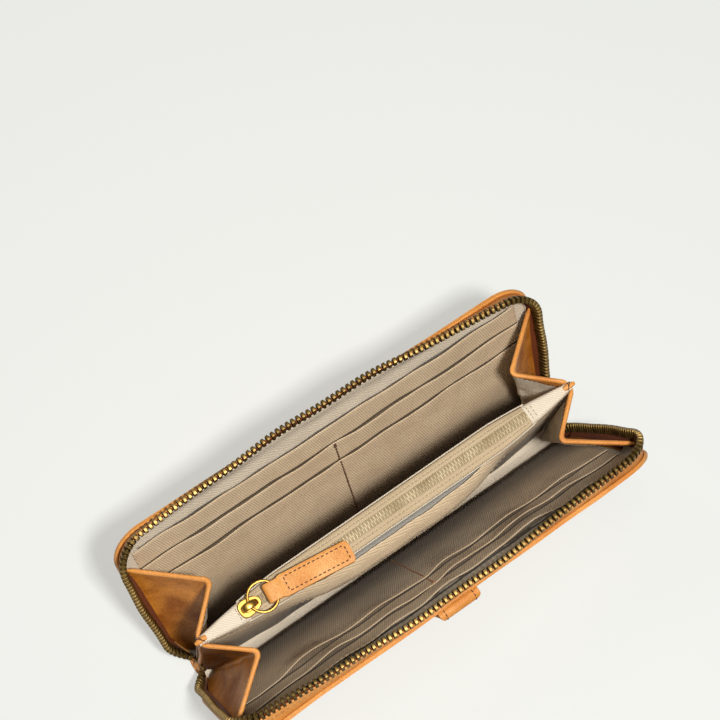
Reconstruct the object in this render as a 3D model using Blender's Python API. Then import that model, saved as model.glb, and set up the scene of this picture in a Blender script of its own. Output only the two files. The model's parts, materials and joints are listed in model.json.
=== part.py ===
"""Zip around wallet standing open on its spine: two covers, a coin pocket, folding gussets and two zips.

Frame: origin at the centre of the spine's underside, +X towards the wallet's right end,
+Y towards the far cover, +Z up. Sizes below are in millimetres; meshes are built in metres.

Each cover has its own frame on its fold line: x along the fold, h up the cover, d into the wallet.
"""

import math

import bmesh
import bpy
from mathutils import Matrix, Vector

MM = 0.001

# Shell
COVER_HALF = 100.0
COVER_HEIGHT = 95.0
COVER_CORNER = 16.0
COVER_FOOT_HALF = 93.0
COVER_FOOT = 0.8
COVER_FOOT_RISE = 11.0
LEATHER = 1.2
HINGE_Y = 9.2
HINGE_Z = 1.5
FAR_LEAN = 22.5
NEAR_LEAN = 20.0
SPINE_HALF_WIDTH = 8.8
SPINE_HALF_LENGTH = 96.0

# Layers inside a cover, as depths from the leather's inner face
BOARD_DEPTH = (0.3, 0.6)
LINING_DEPTH = (0.9, 1.15)
SLOT_DEPTHS = ((1.45, 1.75), (2.0, 2.3), (2.55, 2.85))
SLOT_TOPS = (84.0, 72.0, 60.0)
SLOT_HALF = 88.0
SLOT_FOOT = 6.0
SEAM_DEPTH = (3.15, 3.4)
SEAM_WIDTH = 0.8
SEAM_INSET = 2.0

# Main zip: a tape wall standing inside the edge, and a row of teeth along it
ZIP_HALF = 97.5
ZIP_TOP = 92.2
ZIP_CORNER = 13.0
ZIP_START = 8.0
ZIP_ROOT_DEPTH = 0.6
ZIP_WALL_FOOT = 7.1
ZIP_WALL_SLOPE = 0.035
TAPE_THICK = 0.7
TEETH_WIDE = 2.6
TEETH_TALL = 2.8
TEETH_GAP = 0.3
CORNER_WALL_END = 80.0
EDGE_HALF = 81.0
EDGE_HINGE_DEPTH = 0.9
EDGE_WALL = 10.3
EDGE_SPLAY = 65.0

# Coin pocket
POCKET_HALF = 89.0
POCKET_TOP = 78.4
POCKET_FOOT = 2.6
POCKET_TOP_HALF = 5.2
POCKET_FOOT_HALF = 4.0
POCKET_TIP_HALF = 1.2
POCKET_TAPER_FROM = 58.0
POCKET_WALL = 0.7
COIN_TAPE_Z = (78.8, 79.5)
COIN_TAPE_INNER = 2.0
COIN_ZIP_HALF = 70.0
COIL_Z = (79.0, 80.6)
COIL_HALF = 1.5
END_TAB_GAP = 0.4

# Gussets: each is an outer panel on the cover and an inner panel on the pocket's end
GUSSET_COVER_X = 95.6
GUSSET_COVER_DEPTH = 3.4
GUSSET_COVER_SPAN = (5.0, 82.0)
GUSSET_POCKET_X = 91.4
GUSSET_POCKET_FOOT = (2.4, 6.0)
GUSSET_POCKET_TOP = (1.8, 80.0)
GUSSET_FOLD_X = 74.0
GUSSET_FOLD_Z = 80.0
FAR_FOLD_Y = 17.6
NEAR_FOLD_Y = 16.4
GUSSET_FOOT_WIDTH = 6.0
GUSSET_THICK = 0.6
GUSSET_HINGE_GAP = 0.4
GUSSET_FOLD_GAP = 1.0

# Sliders, rings and pulls
RING_RADIUS = 6.2
RING_WIRE = 0.5
PULL_LENGTH = 39.0
PULL_HALF = 4.6
PULL_NECK_HALF = 2.5
PULL_NECK = 5.2
PULL_THICK = 2.6
COIN_SLIDER_X = -67.5
COIN_RING_Z = 83.5
COIN_PULL_YAW = -7.0
MAIN_SLIDER_X = 97.5
MAIN_SLIDER_Z = (7.0, 15.5)
MAIN_BAIL_X = 101.6
MAIN_BAIL_Z = 10.0
MAIN_RING_DROOP = -6.0

# Snap tab over the pocket outside the near cover
OUTER_POCKET_HALF = 88.0
OUTER_POCKET_SPAN = (9.0, 90.0)
OUTER_POCKET_DEPTH = (-2.6, -1.5)
SNAP_HALF = 9.5
SNAP_HINGE = (93.0, -4.25)
SNAP_THICK = 1.3
SNAP_H = 77.0
SNAP_TAB_FOOT = 71.0
SNAP_ROOT_SPAN = (90.3, 94.0)
SNAP_ROOT_DEPTH = (-3.3, -1.5)


def material(name, colour, roughness, metallic=0.0):
    """One Principled material."""
    mat = bpy.data.materials.new(name)
    mat.use_nodes = True
    shader = mat.node_tree.nodes["Principled BSDF"]
    shader.inputs["Base Color"].default_value = (*colour, 1.0)
    shader.inputs["Roughness"].default_value = roughness
    shader.inputs["Metallic"].default_value = metallic
    mat.diffuse_color = (*colour, 1.0)
    return mat


def make_materials():
    """The wallet's materials by name."""
    return {
        "tan_leather": material("tan_leather", (0.52, 0.23, 0.07), 0.55),
        "gusset_leather": material("gusset_leather", (0.45, 0.19, 0.06), 0.55),
        "twill": material("twill", (0.42, 0.35, 0.27), 0.85),
        "cream_twill": material("cream_twill", (0.68, 0.62, 0.48), 0.8),
        "zip_tape": material("zip_tape", (0.16, 0.05, 0.025), 0.85),
        "coil": material("coil", (0.62, 0.54, 0.36), 0.5),
        "board": material("board", (0.3, 0.25, 0.18), 0.9),
        "brass_teeth": material("brass_teeth", (0.30, 0.20, 0.07), 0.35, 1.0),
        "bright_brass": material("bright_brass", (0.75, 0.55, 0.12), 0.25, 1.0),
        "thread": material("thread", (0.12, 0.07, 0.04), 0.8),
    }


def skin(bm, rings, closed=False):
    """Joins rings of points into faces; an open run gets a cap at each end."""
    loops = [[bm.verts.new(Vector(p) * MM) for p in ring] for ring in rings]
    count = len(loops[0])
    pairs = list(zip(loops, loops[1:]))
    if closed:
        pairs.append((loops[-1], loops[0]))
    for low, high in pairs:
        for k in range(count):
            n = (k + 1) % count
            bm.faces.new((low[k], low[n], high[n], high[k]))
    if not closed:
        bm.faces.new(loops[0])
        bm.faces.new(loops[-1])


def finish(name, bm, mat, parent=None, smooth=False):
    """Makes the named object from a bmesh, facing out, in its parent's frame."""
    bmesh.ops.recalc_face_normals(bm, faces=bm.faces)
    mesh = bpy.data.meshes.new(name)
    bm.to_mesh(mesh)
    bm.free()
    obj = bpy.data.objects.new(name, mesh)
    bpy.context.collection.objects.link(obj)
    obj.data.materials.append(mat)
    obj.parent = parent
    if smooth:
        mesh.shade_smooth()
        mesh.set_sharp_from_angle(angle=math.radians(40))
    return obj


def empty(name, place, turn=(0.0, 0.0, 0.0)):
    """An empty on a joint's axis; place in millimetres, turn in degrees."""
    obj = bpy.data.objects.new(name, None)
    bpy.context.collection.objects.link(obj)
    obj.location = Vector(place) * MM
    obj.rotation_euler = [math.radians(a) for a in turn]
    return obj


def box(bm, low, high):
    """A block between two corners."""
    (x0, y0, z0), (x1, y1, z1) = low, high
    flat = ((x0, y0), (x1, y0), (x1, y1), (x0, y1))
    skin(bm, [[(x, y, z) for x, y in flat] for z in (z0, z1)])


def block(name, low, high, mat, parent=None):
    """A node that is one block."""
    bm = bmesh.new()
    box(bm, low, high)
    return finish(name, bm, mat, parent)


def plate(name, outline, depths, mat, parent):
    """A node cut to an (x, h) outline between two depths of a cover's frame."""
    bm = bmesh.new()
    skin(bm, [[(x, h, d) for x, h in outline] for d in depths])
    return finish(name, bm, mat, parent)


def cut_with(obj, name, low, high, parent=None):
    """Cuts a block-shaped opening out of obj."""
    cutter = block(name, low, high, obj.data.materials[0], parent)
    cutter.hide_render = True
    cutter.display_type = "WIRE"
    cut = obj.modifiers.new(name, "BOOLEAN")
    cut.operation = "DIFFERENCE"
    cut.object = cutter


def arc(centre, radius, start, end, steps):
    """Points on an arc in a plane; angles in degrees from the first axis towards the second."""
    angles = [math.radians(start + (end - start) * k / steps) for k in range(steps + 1)]
    return [(centre[0] + radius * math.cos(a), centre[1] + radius * math.sin(a)) for a in angles]


def cover_outline(half, top, corner, foot_half, foot, rise, steps=8):
    """A cover's outline: rounded top corners and a foot that narrows to the fold."""
    right = []
    for k in range(5):
        a = math.radians(90.0 * k / 4)
        right.append((foot_half + (half - foot_half) * math.sin(a), foot + rise * (1 - math.cos(a))))
    right += arc((half - corner, top - corner), corner, 0, 90, steps)
    left = [(-x, h) for x, h in reversed(right)]
    return right + left


def cover_point(side, x, h, d):
    """World place, in millimetres, of a point on a cover at rest; side is 1 far and -1 near."""
    lean = math.radians(FAR_LEAN if side > 0 else NEAR_LEAN)
    y = HINGE_Y + h * math.sin(lean) - d * math.cos(lean)
    z = HINGE_Z + h * math.cos(lean) + d * math.sin(lean)
    return Vector((x, side * y, z))


def wall_height(h):
    """How far the zip wall stands in from its root at height h."""
    return ZIP_WALL_FOOT + ZIP_WALL_SLOPE * h


def side_path():
    """The zip's path up one side of a cover and round its top corner: (x, h, outward x, outward h)."""
    centre = (ZIP_HALF - ZIP_CORNER, ZIP_TOP - ZIP_CORNER)
    path = [(ZIP_HALF, ZIP_START, 1.0, 0.0)]
    steps = 8
    for k in range(steps + 1):
        a = math.radians(CORNER_WALL_END * k / steps)
        out = (math.cos(a), math.sin(a))
        path.append((centre[0] + ZIP_CORNER * out[0], centre[1] + ZIP_CORNER * out[1], *out))
    return path


def wall_rings(mirror, start, end, thick):
    """Rings of a strip standing on the side path; start and end are depths as functions of h."""
    rings = []
    for x, h, ox, oh in side_path():
        half = thick / 2
        low, high = start(h), end(h)
        ring = [(ox * half, oh * half, low), (-ox * half, -oh * half, low)]
        ring += [(-ox * half, -oh * half, high), (ox * half, oh * half, high)]
        rings.append([(mirror * (x + px), h + ph, d) for px, ph, d in ring])
    return rings


def side_zip(prefix, side, frame, mats):
    """Tape and teeth up both sides of a cover and round its corners."""
    parts = (
        ("side_tape", TAPE_THICK, lambda h: ZIP_ROOT_DEPTH, tape_end, "zip_tape"),
        ("side_teeth", TEETH_WIDE, lambda h: tape_end(h) + TEETH_GAP, teeth_end, "brass_teeth"),
    )
    for name, thick, start, end, mat in parts:
        for end_name, mirror in (("left", -side), ("right", side)):
            bm = bmesh.new()
            skin(bm, wall_rings(mirror, start, end, thick))
            finish(f"{prefix}_{name}_{end_name}", bm, mats[mat], frame)


def teeth_end(h):
    """Depth of the teeth's tips at height h."""
    return ZIP_ROOT_DEPTH + wall_height(h)


def tape_end(h):
    """Depth at which the tape gives way to the teeth."""
    return teeth_end(h) - TEETH_TALL - TEETH_GAP


def edge_zip(prefix, side, lean, mats):
    """Tape and teeth along a cover's long edge, hinged on their stitch line and splayed open."""
    place = cover_point(side, 0.0, ZIP_TOP, EDGE_HINGE_DEPTH)
    turn = (90.0 - lean, 0.0, 0.0 if side > 0 else 180.0)
    hinge = empty(f"{prefix}_zip_edge_hinge", place, turn)
    tilt = empty(f"{prefix}_zip_edge_splay", (0, 0, 0), (-EDGE_SPLAY, 0.0, 0.0))
    tilt.parent = hinge
    tape_top = EDGE_WALL - TEETH_TALL - TEETH_GAP
    half_tape, half_teeth = TAPE_THICK / 2, TEETH_WIDE / 2
    block(f"{prefix}_edge_tape", (-EDGE_HALF, -half_tape, 0.4), (EDGE_HALF, half_tape, tape_top),
          mats["zip_tape"], tilt)
    block(f"{prefix}_edge_teeth", (-EDGE_HALF, -half_teeth, tape_top + TEETH_GAP),
          (EDGE_HALF, half_teeth, EDGE_WALL), mats["brass_teeth"], tilt)


def divider_seam(name, frame, mats):
    """The seam that splits the lowest card slot into two columns."""
    half = SEAM_WIDTH / 2
    block(name, (-half, SLOT_FOOT + SEAM_INSET, SEAM_DEPTH[0]),
          (half, SLOT_TOPS[-1] - SEAM_INSET, SEAM_DEPTH[1]), mats["thread"], frame)


def cover(prefix, side, lean, mats):
    """One cover: leather, board, lining, card slots and the zip on its sides; returns its frame."""
    frame = empty(f"{prefix}_cover_hinge", (0, side * HINGE_Y, HINGE_Z),
                  (90.0 - lean, 0.0, 0.0 if side > 0 else 180.0))
    shell = cover_outline(COVER_HALF, COVER_HEIGHT, COVER_CORNER, COVER_FOOT_HALF, COVER_FOOT, COVER_FOOT_RISE)
    plate(f"{prefix}_cover_leather", shell, (-LEATHER, 0.0), mats["tan_leather"], frame)
    board = cover_outline(93.0, 90.0, 12.0, 88.0, 4.0, 8.0, 4)
    plate(f"{prefix}_cover_board", board, BOARD_DEPTH, mats["board"], frame)
    lining = cover_outline(95.0, 91.2, 12.5, 89.0, 3.0, 9.0, 4)
    plate(f"{prefix}_cover_lining", lining, LINING_DEPTH, mats["twill"], frame)
    for name, depths, top in zip(("high", "mid", "low"), SLOT_DEPTHS, SLOT_TOPS):
        outline = [(SLOT_HALF, SLOT_FOOT), (SLOT_HALF, top), (-SLOT_HALF, top), (-SLOT_HALF, SLOT_FOOT)]
        plate(f"{prefix}_card_slot_{name}", outline, depths, mats["twill"], frame)
    divider_seam(f"{prefix}_divider_seam", frame, mats)
    side_zip(prefix, side, frame, mats)
    stop_x = -side * ZIP_HALF
    stop_half = TEETH_WIDE / 2
    depth = teeth_end(ZIP_START)
    block(f"{prefix}_top_stop", (stop_x - stop_half, 5.4, depth - TEETH_TALL),
          (stop_x + stop_half, 7.6, depth), mats["brass_teeth"], frame)
    return frame


def spine(mats):
    """The leather spine that the wallet stands on, and its lining."""
    block("spine_leather", (-SPINE_HALF_LENGTH, -SPINE_HALF_WIDTH, 0.0),
          (SPINE_HALF_LENGTH, SPINE_HALF_WIDTH, LEATHER), mats["tan_leather"])
    block("spine_lining", (-POCKET_HALF + 1, -7.6, LEATHER + 0.3), (POCKET_HALF - 1, 7.6, LEATHER + 0.7),
          mats["twill"])


def pocket_half(x, middle):
    """The coin pocket's half width at x, which tapers to a tip at each end."""
    along = (abs(x) - POCKET_TAPER_FROM) / (POCKET_HALF - POCKET_TAPER_FROM)
    return middle + (POCKET_TIP_HALF - middle) * max(0.0, along)


def pocket_stations(low, high):
    """Places along x where the pocket's width changes, between low and high."""
    return [low] + [x for x in (-POCKET_TAPER_FROM, POCKET_TAPER_FROM) if low < x < high] + [high]


def coin_pocket(mats):
    """The zipped coin pocket between the covers: two walls, their tapes, the coil and the end tabs."""
    for side, name in ((1, "far"), (-1, "near")):
        wall, tape = bmesh.new(), bmesh.new()
        rings = []
        for x in pocket_stations(-POCKET_HALF, POCKET_HALF):
            foot, top = pocket_half(x, POCKET_FOOT_HALF), pocket_half(x, POCKET_TOP_HALF)
            rings.append([(x, side * foot, POCKET_FOOT), (x, side * top, POCKET_TOP),
                          (x, side * (top - POCKET_WALL), POCKET_TOP),
                          (x, side * (foot - POCKET_WALL), POCKET_FOOT)])
        skin(wall, rings)
        finish(f"coin_wall_{name}", wall, mats["twill"])
        rings = []
        for x in pocket_stations(-COIN_ZIP_HALF, COIN_ZIP_HALF):
            edge = pocket_half(x, POCKET_TOP_HALF)
            rings.append([(x, side * y, z) for y, z in (
                (COIN_TAPE_INNER, COIN_TAPE_Z[0]), (edge, COIN_TAPE_Z[0]),
                (edge, COIN_TAPE_Z[1]), (COIN_TAPE_INNER, COIN_TAPE_Z[1]))])
        skin(tape, rings)
        finish(f"coin_tape_{name}", tape, mats["cream_twill"])
    coin_coil(mats)
    for side, name in ((-1, "left"), (1, "right")):
        near_end, tip = COIN_ZIP_HALF + END_TAB_GAP, POCKET_HALF + 0.2
        tab = bmesh.new()
        wide, narrow = pocket_half(near_end, POCKET_TOP_HALF), pocket_half(tip, POCKET_TOP_HALF)
        flat = ((side * near_end, -wide), (side * near_end, wide), (side * tip, narrow), (side * tip, -narrow))
        skin(tab, [[(x, y, z) for x, y in flat] for z in COIN_TAPE_Z])
        finish(f"coin_end_tab_{name}", tab, mats["cream_twill"])
        seam = (side * (POCKET_HALF + 0.6), side * (POCKET_HALF + 2.0))
        block(f"gusset_seam_{name}", (min(seam), -1.1, 4.0), (max(seam), 1.1, 81.0), mats["thread"])


def coin_coil(mats):
    """The closed nylon coil down the middle of the pocket's top."""
    bm = bmesh.new()
    low, high = COIL_Z
    shape = ((-COIL_HALF, low + 0.4), (-0.9, low), (0.9, low), (COIL_HALF, low + 0.4),
             (COIL_HALF, high - 0.5), (0.9, high), (-0.9, high), (-COIL_HALF, high - 0.5))
    skin(bm, [[(x, y, z) for y, z in shape] for x in (-COIN_ZIP_HALF, COIN_ZIP_HALF)])
    finish("coin_coil", bm, mats["coil"])


def zip_ends(mats):
    """What holds the main zip's ends at the spine: a leather tab at the left, a metal stop at the right."""
    block("zip_end_tab", (-99.5, -3.2, 1.7), (-93.6, 3.2, 6.3), mats["tan_leather"])
    block("zip_bottom_stop", (96.4, -2.5, 1.7), (98.6, 2.5, 6.2), mats["brass_teeth"])


def gusset_panel(name, foot, top, fold_top, foot_width, mat):
    """A tapered panel hinged on the line from foot to top, reaching to the fold."""
    along = (top - foot).normalized()
    reach = fold_top - foot
    across = reach - along * reach.dot(along)
    direction = across.normalized()
    normal = along.cross(direction)
    fold_foot = foot + direction * foot_width
    edge = (fold_top - fold_foot).normalized()
    inset = direction * GUSSET_FOLD_GAP
    start = direction * GUSSET_HINGE_GAP
    corners = (foot + start, top + start, fold_top - inset - edge, fold_foot - inset + edge)
    bm = bmesh.new()
    offsets = (-GUSSET_THICK / 2, GUSSET_THICK / 2)
    skin(bm, [[p - foot + normal * o for p in corners] for o in offsets])
    obj = finish(name, bm, mat)
    obj.location = foot * MM
    return obj


def gussets(mats):
    """The folding panels that join each cover to the coin pocket at both ends."""
    for side, side_name, fold_y in ((1, "far", FAR_FOLD_Y), (-1, "near", NEAR_FOLD_Y)):
        for end, end_name in ((-1, "left"), (1, "right")):
            fold = Vector((end * GUSSET_FOLD_X, side * fold_y, GUSSET_FOLD_Z))
            ends = [cover_point(side, end * GUSSET_COVER_X, h, GUSSET_COVER_DEPTH) for h in GUSSET_COVER_SPAN]
            name = f"gusset_{side_name}_{end_name}"
            gusset_panel(f"{name}_outer", *ends, fold, GUSSET_FOOT_WIDTH, mats["gusset_leather"])
            ends = [Vector((end * GUSSET_POCKET_X, side * y, z))
                    for y, z in (GUSSET_POCKET_FOOT, GUSSET_POCKET_TOP)]
            gusset_panel(f"{name}_inner", *ends, fold, GUSSET_FOOT_WIDTH * 0.8, mats["gusset_leather"])


def ring(name, frame, mats):
    """A wire ring in its frame's x, y plane, which starts at the frame's origin and runs out along +x."""
    bm = bmesh.new()
    steps, sides = 28, 8
    rings = []
    for k in range(steps):
        a = 2 * math.pi * k / steps
        loop = []
        for j in range(sides):
            b = 2 * math.pi * j / sides
            r = RING_RADIUS + RING_WIRE * math.cos(b)
            loop.append((RING_RADIUS + r * math.cos(a), r * math.sin(a), RING_WIRE * math.sin(b)))
        rings.append(loop)
    skin(bm, rings, closed=True)
    return finish(name, bm, mats["bright_brass"], frame, smooth=True)


def pull(name, frame, mats):
    """A leather pull looped on the ring at its frame's origin and running out along +x."""
    start, neck_end, end = -2.1, PULL_NECK - 2.1, PULL_LENGTH - 2.1
    half = PULL_THICK / 2
    outline = [(start, -PULL_NECK_HALF), (neck_end - 1.6, -PULL_NECK_HALF), (neck_end, -PULL_HALF)]
    outline += [(end - 1.5, -PULL_HALF), (end, -PULL_HALF + 1.5)]
    outline += [(x, -y) for x, y in reversed(outline)]
    bm = bmesh.new()
    skin(bm, [[(x, y, z) for x, y in outline] for z in (-half, half)])
    obj = finish(name, bm, mats["tan_leather"], frame)
    cut_with(obj, f"{name}_loop_cut", (-1.5, -PULL_HALF, -0.9), (1.5, PULL_HALF, 0.9), frame)
    return obj


def bridge(name, low, high, mat, target, parent=None):
    """A solid block joined to target."""
    part = block(name, low, high, mat, parent)
    part.hide_render = True
    part.display_type = "WIRE"
    join = target.modifiers.new(name, "BOOLEAN")
    join.operation = "UNION"
    join.object = part


def coin_slider(mats):
    """The coin zip's slider over the coil, with its bail, ring and leather pull."""
    frame = empty("coin_slider_origin", (COIN_SLIDER_X, 0, COIL_Z[1]))
    bm = bmesh.new()
    outline = [(-5, -2.4), (-3.6, -3.6), (3.2, -3.6), (5, -2.6)]
    outline += [(x, -y) for x, y in reversed(outline)]
    skin(bm, [[(x, y, z) for x, y in outline] for z in (-0.8, 1.6)])
    body = finish("coin_slider_body", bm, mats["bright_brass"], frame)
    bridge("coin_slider_bail_shape", (-3.4, -1.4, 1.2), (3.0, 1.4, 4.6), mats["bright_brass"], body, frame)
    cut_with(body, "coin_slider_channel", (-6, -1.9, -1.0), (6, 1.9, 0.3), frame)
    cut_with(body, "coin_slider_eye", (-1.8, -2, 2.0), (1.8, 2, 3.8), frame)
    on_bail = empty("coin_ring_hinge", (COIN_SLIDER_X, 0, COIN_RING_Z))
    ring("coin_ring", on_bail, mats)
    yaw = math.radians(COIN_PULL_YAW)
    reach = Vector((math.cos(yaw), math.sin(yaw), 0.0)) * RING_RADIUS
    place = Vector((COIN_SLIDER_X + RING_RADIUS, 0, COIN_RING_Z)) + reach
    pull("coin_pull_leather", empty("coin_pull_hinge", place, (0, 0, COIN_PULL_YAW)), mats)


def main_slider(mats):
    """The main zip's slider at the right end of the spine, with its bail, ring and leather pull."""
    low, high = MAIN_SLIDER_Z
    frame = empty("main_slider_origin", (MAIN_SLIDER_X, 0, low))
    tall = high - low
    bm = bmesh.new()
    outline = [(-3.2, 0.0), (3.2, 0.0), (4.5, 4.0), (4.5, tall), (-4.5, tall), (-4.5, 4.0)]
    skin(bm, [[(x, y, z) for y, z in outline] for x in (-2.6, 2.6)])
    body = finish("main_slider_body", bm, mats["brass_teeth"], frame)
    bridge("main_slider_bail_shape", (2.2, -2.6, 2.0), (5.5, 2.6, 4.0), mats["brass_teeth"], body, frame)
    cut_with(body, "main_slider_channel_low", (-1.7, -6, -1), (1.7, 6, tall - 2.5), frame)
    for side, name in ((-1, "near"), (1, "far")):
        ends = sorted((side * 1.1, side * 6.0))
        cut_with(body, f"main_slider_channel_{name}", (-1.7, ends[0], tall - 3.0), (1.7, ends[1], tall + 1),
                 frame)
    cut_with(body, "main_slider_eye", (3.1, -1.8, 1), (4.9, 1.8, 5), frame)
    droop = math.radians(MAIN_RING_DROOP)
    lie = Matrix.Rotation(droop, 4, "X") @ Matrix.Rotation(math.radians(90), 4, "Y")
    lie = lie @ Matrix.Rotation(math.radians(90), 4, "Z")
    turn = [math.degrees(a) for a in lie.to_euler()]
    on_bail = empty("main_ring_hinge", (MAIN_BAIL_X, 0, MAIN_BAIL_Z), turn)
    ring("main_ring", on_bail, mats)
    out = Vector((0, math.cos(droop), math.sin(droop))) * 2 * RING_RADIUS
    place = Vector((MAIN_BAIL_X, 0, MAIN_BAIL_Z)) + out
    pull("main_pull_leather", empty("main_pull_hinge", place, turn), mats)


def disc(name, centre, radius, depths, mat, parent, crown=0.0):
    """A round piece facing out of a cover, with an optional raised crown."""
    x, h = centre
    steps = 20
    profile = [(radius, depths[1]), (radius, depths[0] + crown * 0.5)]
    if crown:
        profile.append((radius * 0.6, depths[0]))
    bm = bmesh.new()
    rings = []
    for r, d in profile:
        circle = [2 * math.pi * k / steps for k in range(steps)]
        rings.append([(x + r * math.cos(a), h + r * math.sin(a), d) for a in circle])
    skin(bm, rings)
    return finish(name, bm, mat, parent, smooth=True)


def snap_tab(frame, mats):
    """The slip pocket outside the near cover, and the snap tab that closes it.

    The tab is one strip: its root is sewn to the cover, and the rest folds down over the pocket's mouth.
    """
    low, high = OUTER_POCKET_SPAN
    half = OUTER_POCKET_HALF
    outline = [(half - 3, low), (half, low + 3), (half, high), (-half, high), (-half, low + 3), (3 - half, low)]
    plate("near_outer_pocket", outline, OUTER_POCKET_DEPTH, mats["tan_leather"], frame)
    disc("snap_stud", (0, SNAP_H), 5.0, (-3.3, -2.9), mats["brass_teeth"], frame)
    root = [(x, h) for h in SNAP_ROOT_SPAN for x in (-SNAP_HALF, SNAP_HALF)]
    plate("snap_tab_root", [root[0], root[1], root[3], root[2]], SNAP_ROOT_DEPTH, mats["tan_leather"], frame)
    hinge = empty("snap_tab_hinge", cover_point(-1, 0.0, *SNAP_HINGE), (90.0 - NEAR_LEAN, 0.0, 180.0))
    half_thick = SNAP_THICK / 2
    foot = SNAP_TAB_FOOT - SNAP_HINGE[0]
    shape = [(foot, -half_thick)] + arc((0, 0), half_thick, -90, 90, 6) + [(foot, half_thick)]
    bm = bmesh.new()
    skin(bm, [[(x, h, d) for h, d in shape] for x in (-SNAP_HALF, SNAP_HALF)])
    finish("snap_tab_leather", bm, mats["tan_leather"], hinge)
    disc("snap_cap", (0, SNAP_H - SNAP_HINGE[0]), 5.5, (-6.4 - SNAP_HINGE[1], -5.2 - SNAP_HINGE[1]),
         mats["brass_teeth"], hinge, crown=1.0)


def main():
    for obj in list(bpy.data.objects):
        bpy.data.objects.remove(obj, do_unlink=True)
    mats = make_materials()
    spine(mats)
    coin_pocket(mats)
    zip_ends(mats)
    cover("far", 1, FAR_LEAN, mats)
    near_frame = cover("near", -1, NEAR_LEAN, mats)
    edge_zip("far", 1, FAR_LEAN, mats)
    edge_zip("near", -1, NEAR_LEAN, mats)
    gussets(mats)
    coin_slider(mats)
    main_slider(mats)
    snap_tab(near_frame, mats)


main()
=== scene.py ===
"""Looks for the zip around wallet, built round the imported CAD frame.

Lengths are in millimetres until a mesh is made. Each cover has its own frame on its fold line:
x along the fold, h up the cover, d into the wallet from the leather's inner face.
"""

import json
import math

import bmesh
import bpy
import numpy as np
from mathutils import Matrix, Vector


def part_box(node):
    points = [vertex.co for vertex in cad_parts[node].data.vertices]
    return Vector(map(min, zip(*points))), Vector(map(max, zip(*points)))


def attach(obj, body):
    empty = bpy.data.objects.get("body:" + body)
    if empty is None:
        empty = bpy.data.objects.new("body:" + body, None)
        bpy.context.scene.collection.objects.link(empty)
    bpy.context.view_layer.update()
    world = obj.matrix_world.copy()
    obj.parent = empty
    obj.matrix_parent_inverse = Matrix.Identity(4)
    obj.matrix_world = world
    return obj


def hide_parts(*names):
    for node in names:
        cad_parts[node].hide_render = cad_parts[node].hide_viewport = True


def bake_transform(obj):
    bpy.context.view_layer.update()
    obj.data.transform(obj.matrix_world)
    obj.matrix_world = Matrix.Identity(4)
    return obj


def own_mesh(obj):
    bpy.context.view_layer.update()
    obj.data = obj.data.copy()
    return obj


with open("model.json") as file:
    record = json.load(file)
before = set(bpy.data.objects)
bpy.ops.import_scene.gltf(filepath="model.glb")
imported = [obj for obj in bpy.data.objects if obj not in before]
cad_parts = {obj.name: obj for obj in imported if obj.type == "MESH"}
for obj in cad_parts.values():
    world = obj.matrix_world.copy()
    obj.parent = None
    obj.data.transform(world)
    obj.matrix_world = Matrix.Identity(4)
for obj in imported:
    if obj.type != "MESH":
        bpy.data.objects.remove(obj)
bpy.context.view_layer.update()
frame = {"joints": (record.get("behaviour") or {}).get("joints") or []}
JOINTS = {joint["name"]: joint for joint in frame["joints"]}
MM = 0.001
TAU = 2 * math.pi
ENDS = ((-1, "left"), (1, "right"))
SIDES = ((1, "far"), (-1, "near"))

# Shell
COVER_HALF = 100.0
COVER_TOP = 95.0
COVER_CORNER = 16.0
FOOT_HALF = 93.5
FOOT_RISE = 13.0
SPINE_END = 94.5
LEATHER = 1.2
REACH_FROM = 40.0

# How each cover stands in the photo: what its lean gains at its left and right end, in degrees,
# how far its free corners reach out past their plan, how far its end walls splay, in degrees,
# and the share of the long edge's splay that is left at each corner and along the middle
STANCE = {
    "far": dict(lean=(3.5, 0.3), reach=(1.2, 0.3), splay=(20.0, 15.0), corner=(0.5, 0.33), middle=1.0),
    "near": dict(lean=(1.9, 1.4), reach=(0.0, 1.6), splay=(17.0, 17.0), corner=(0.3, 0.5), middle=0.9),
}

# Zip wall: the path of its root on a cover, and how far it stands
ZIP_HALF = 97.5
ZIP_TOP = 92.2
ZIP_CORNER = 13.0
ZIP_STRAIGHT = ZIP_HALF - ZIP_CORNER
ZIP_ARC = ZIP_CORNER * math.pi / 2
EDGE_HINGE_DEPTH = 0.9
ROOT_DEPTH = 0.3
WALL_FOOT = 7.4
WALL_SLOPE = 0.035
FOOT_H = 22.0
FOOT_MEET = (90.6, 93.5)
EDGE_SPLAY = math.radians(78.0)
TOOTH_PITCH = 2.4
TOOTH_TALL = 3.6
TAPE_HALF = 0.3
WALL_WIDE = 7.5
FOOT_LONG = 24.0

# Lining and card slots: each slot's name, height and depth, and how far its mouth stands open
LINING_DEPTH = 1.0
SLOTS = (("high", 84.0, 1.55), ("mid", 72.0, 2.1), ("low", 60.0, 2.65))
SLOT_HALF = 92.5
SLOT_FOOT = 6.0
GAPE = {"far": (0.5, 0.75, 0.8), "near": (1.5, 1.6, 1.7)}

# Coin pocket: LENS_GAP is how far its near wall swells out
POCKET_HALF = 90.4
POCKET_TOP = 78.6
POCKET_WIDE = 5.2
POCKET_TIP = 1.2
POCKET_TAPER = 58.0
POCKET_FOOT_WIDE = 4.0
POCKET_SEAM_Z = 67.2
LENS_GAP = 5.0
COIN_ZIP_HALF = 71.0
COIN_TAPE_Z = 79.3
COIL_Z = 79.9

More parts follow.
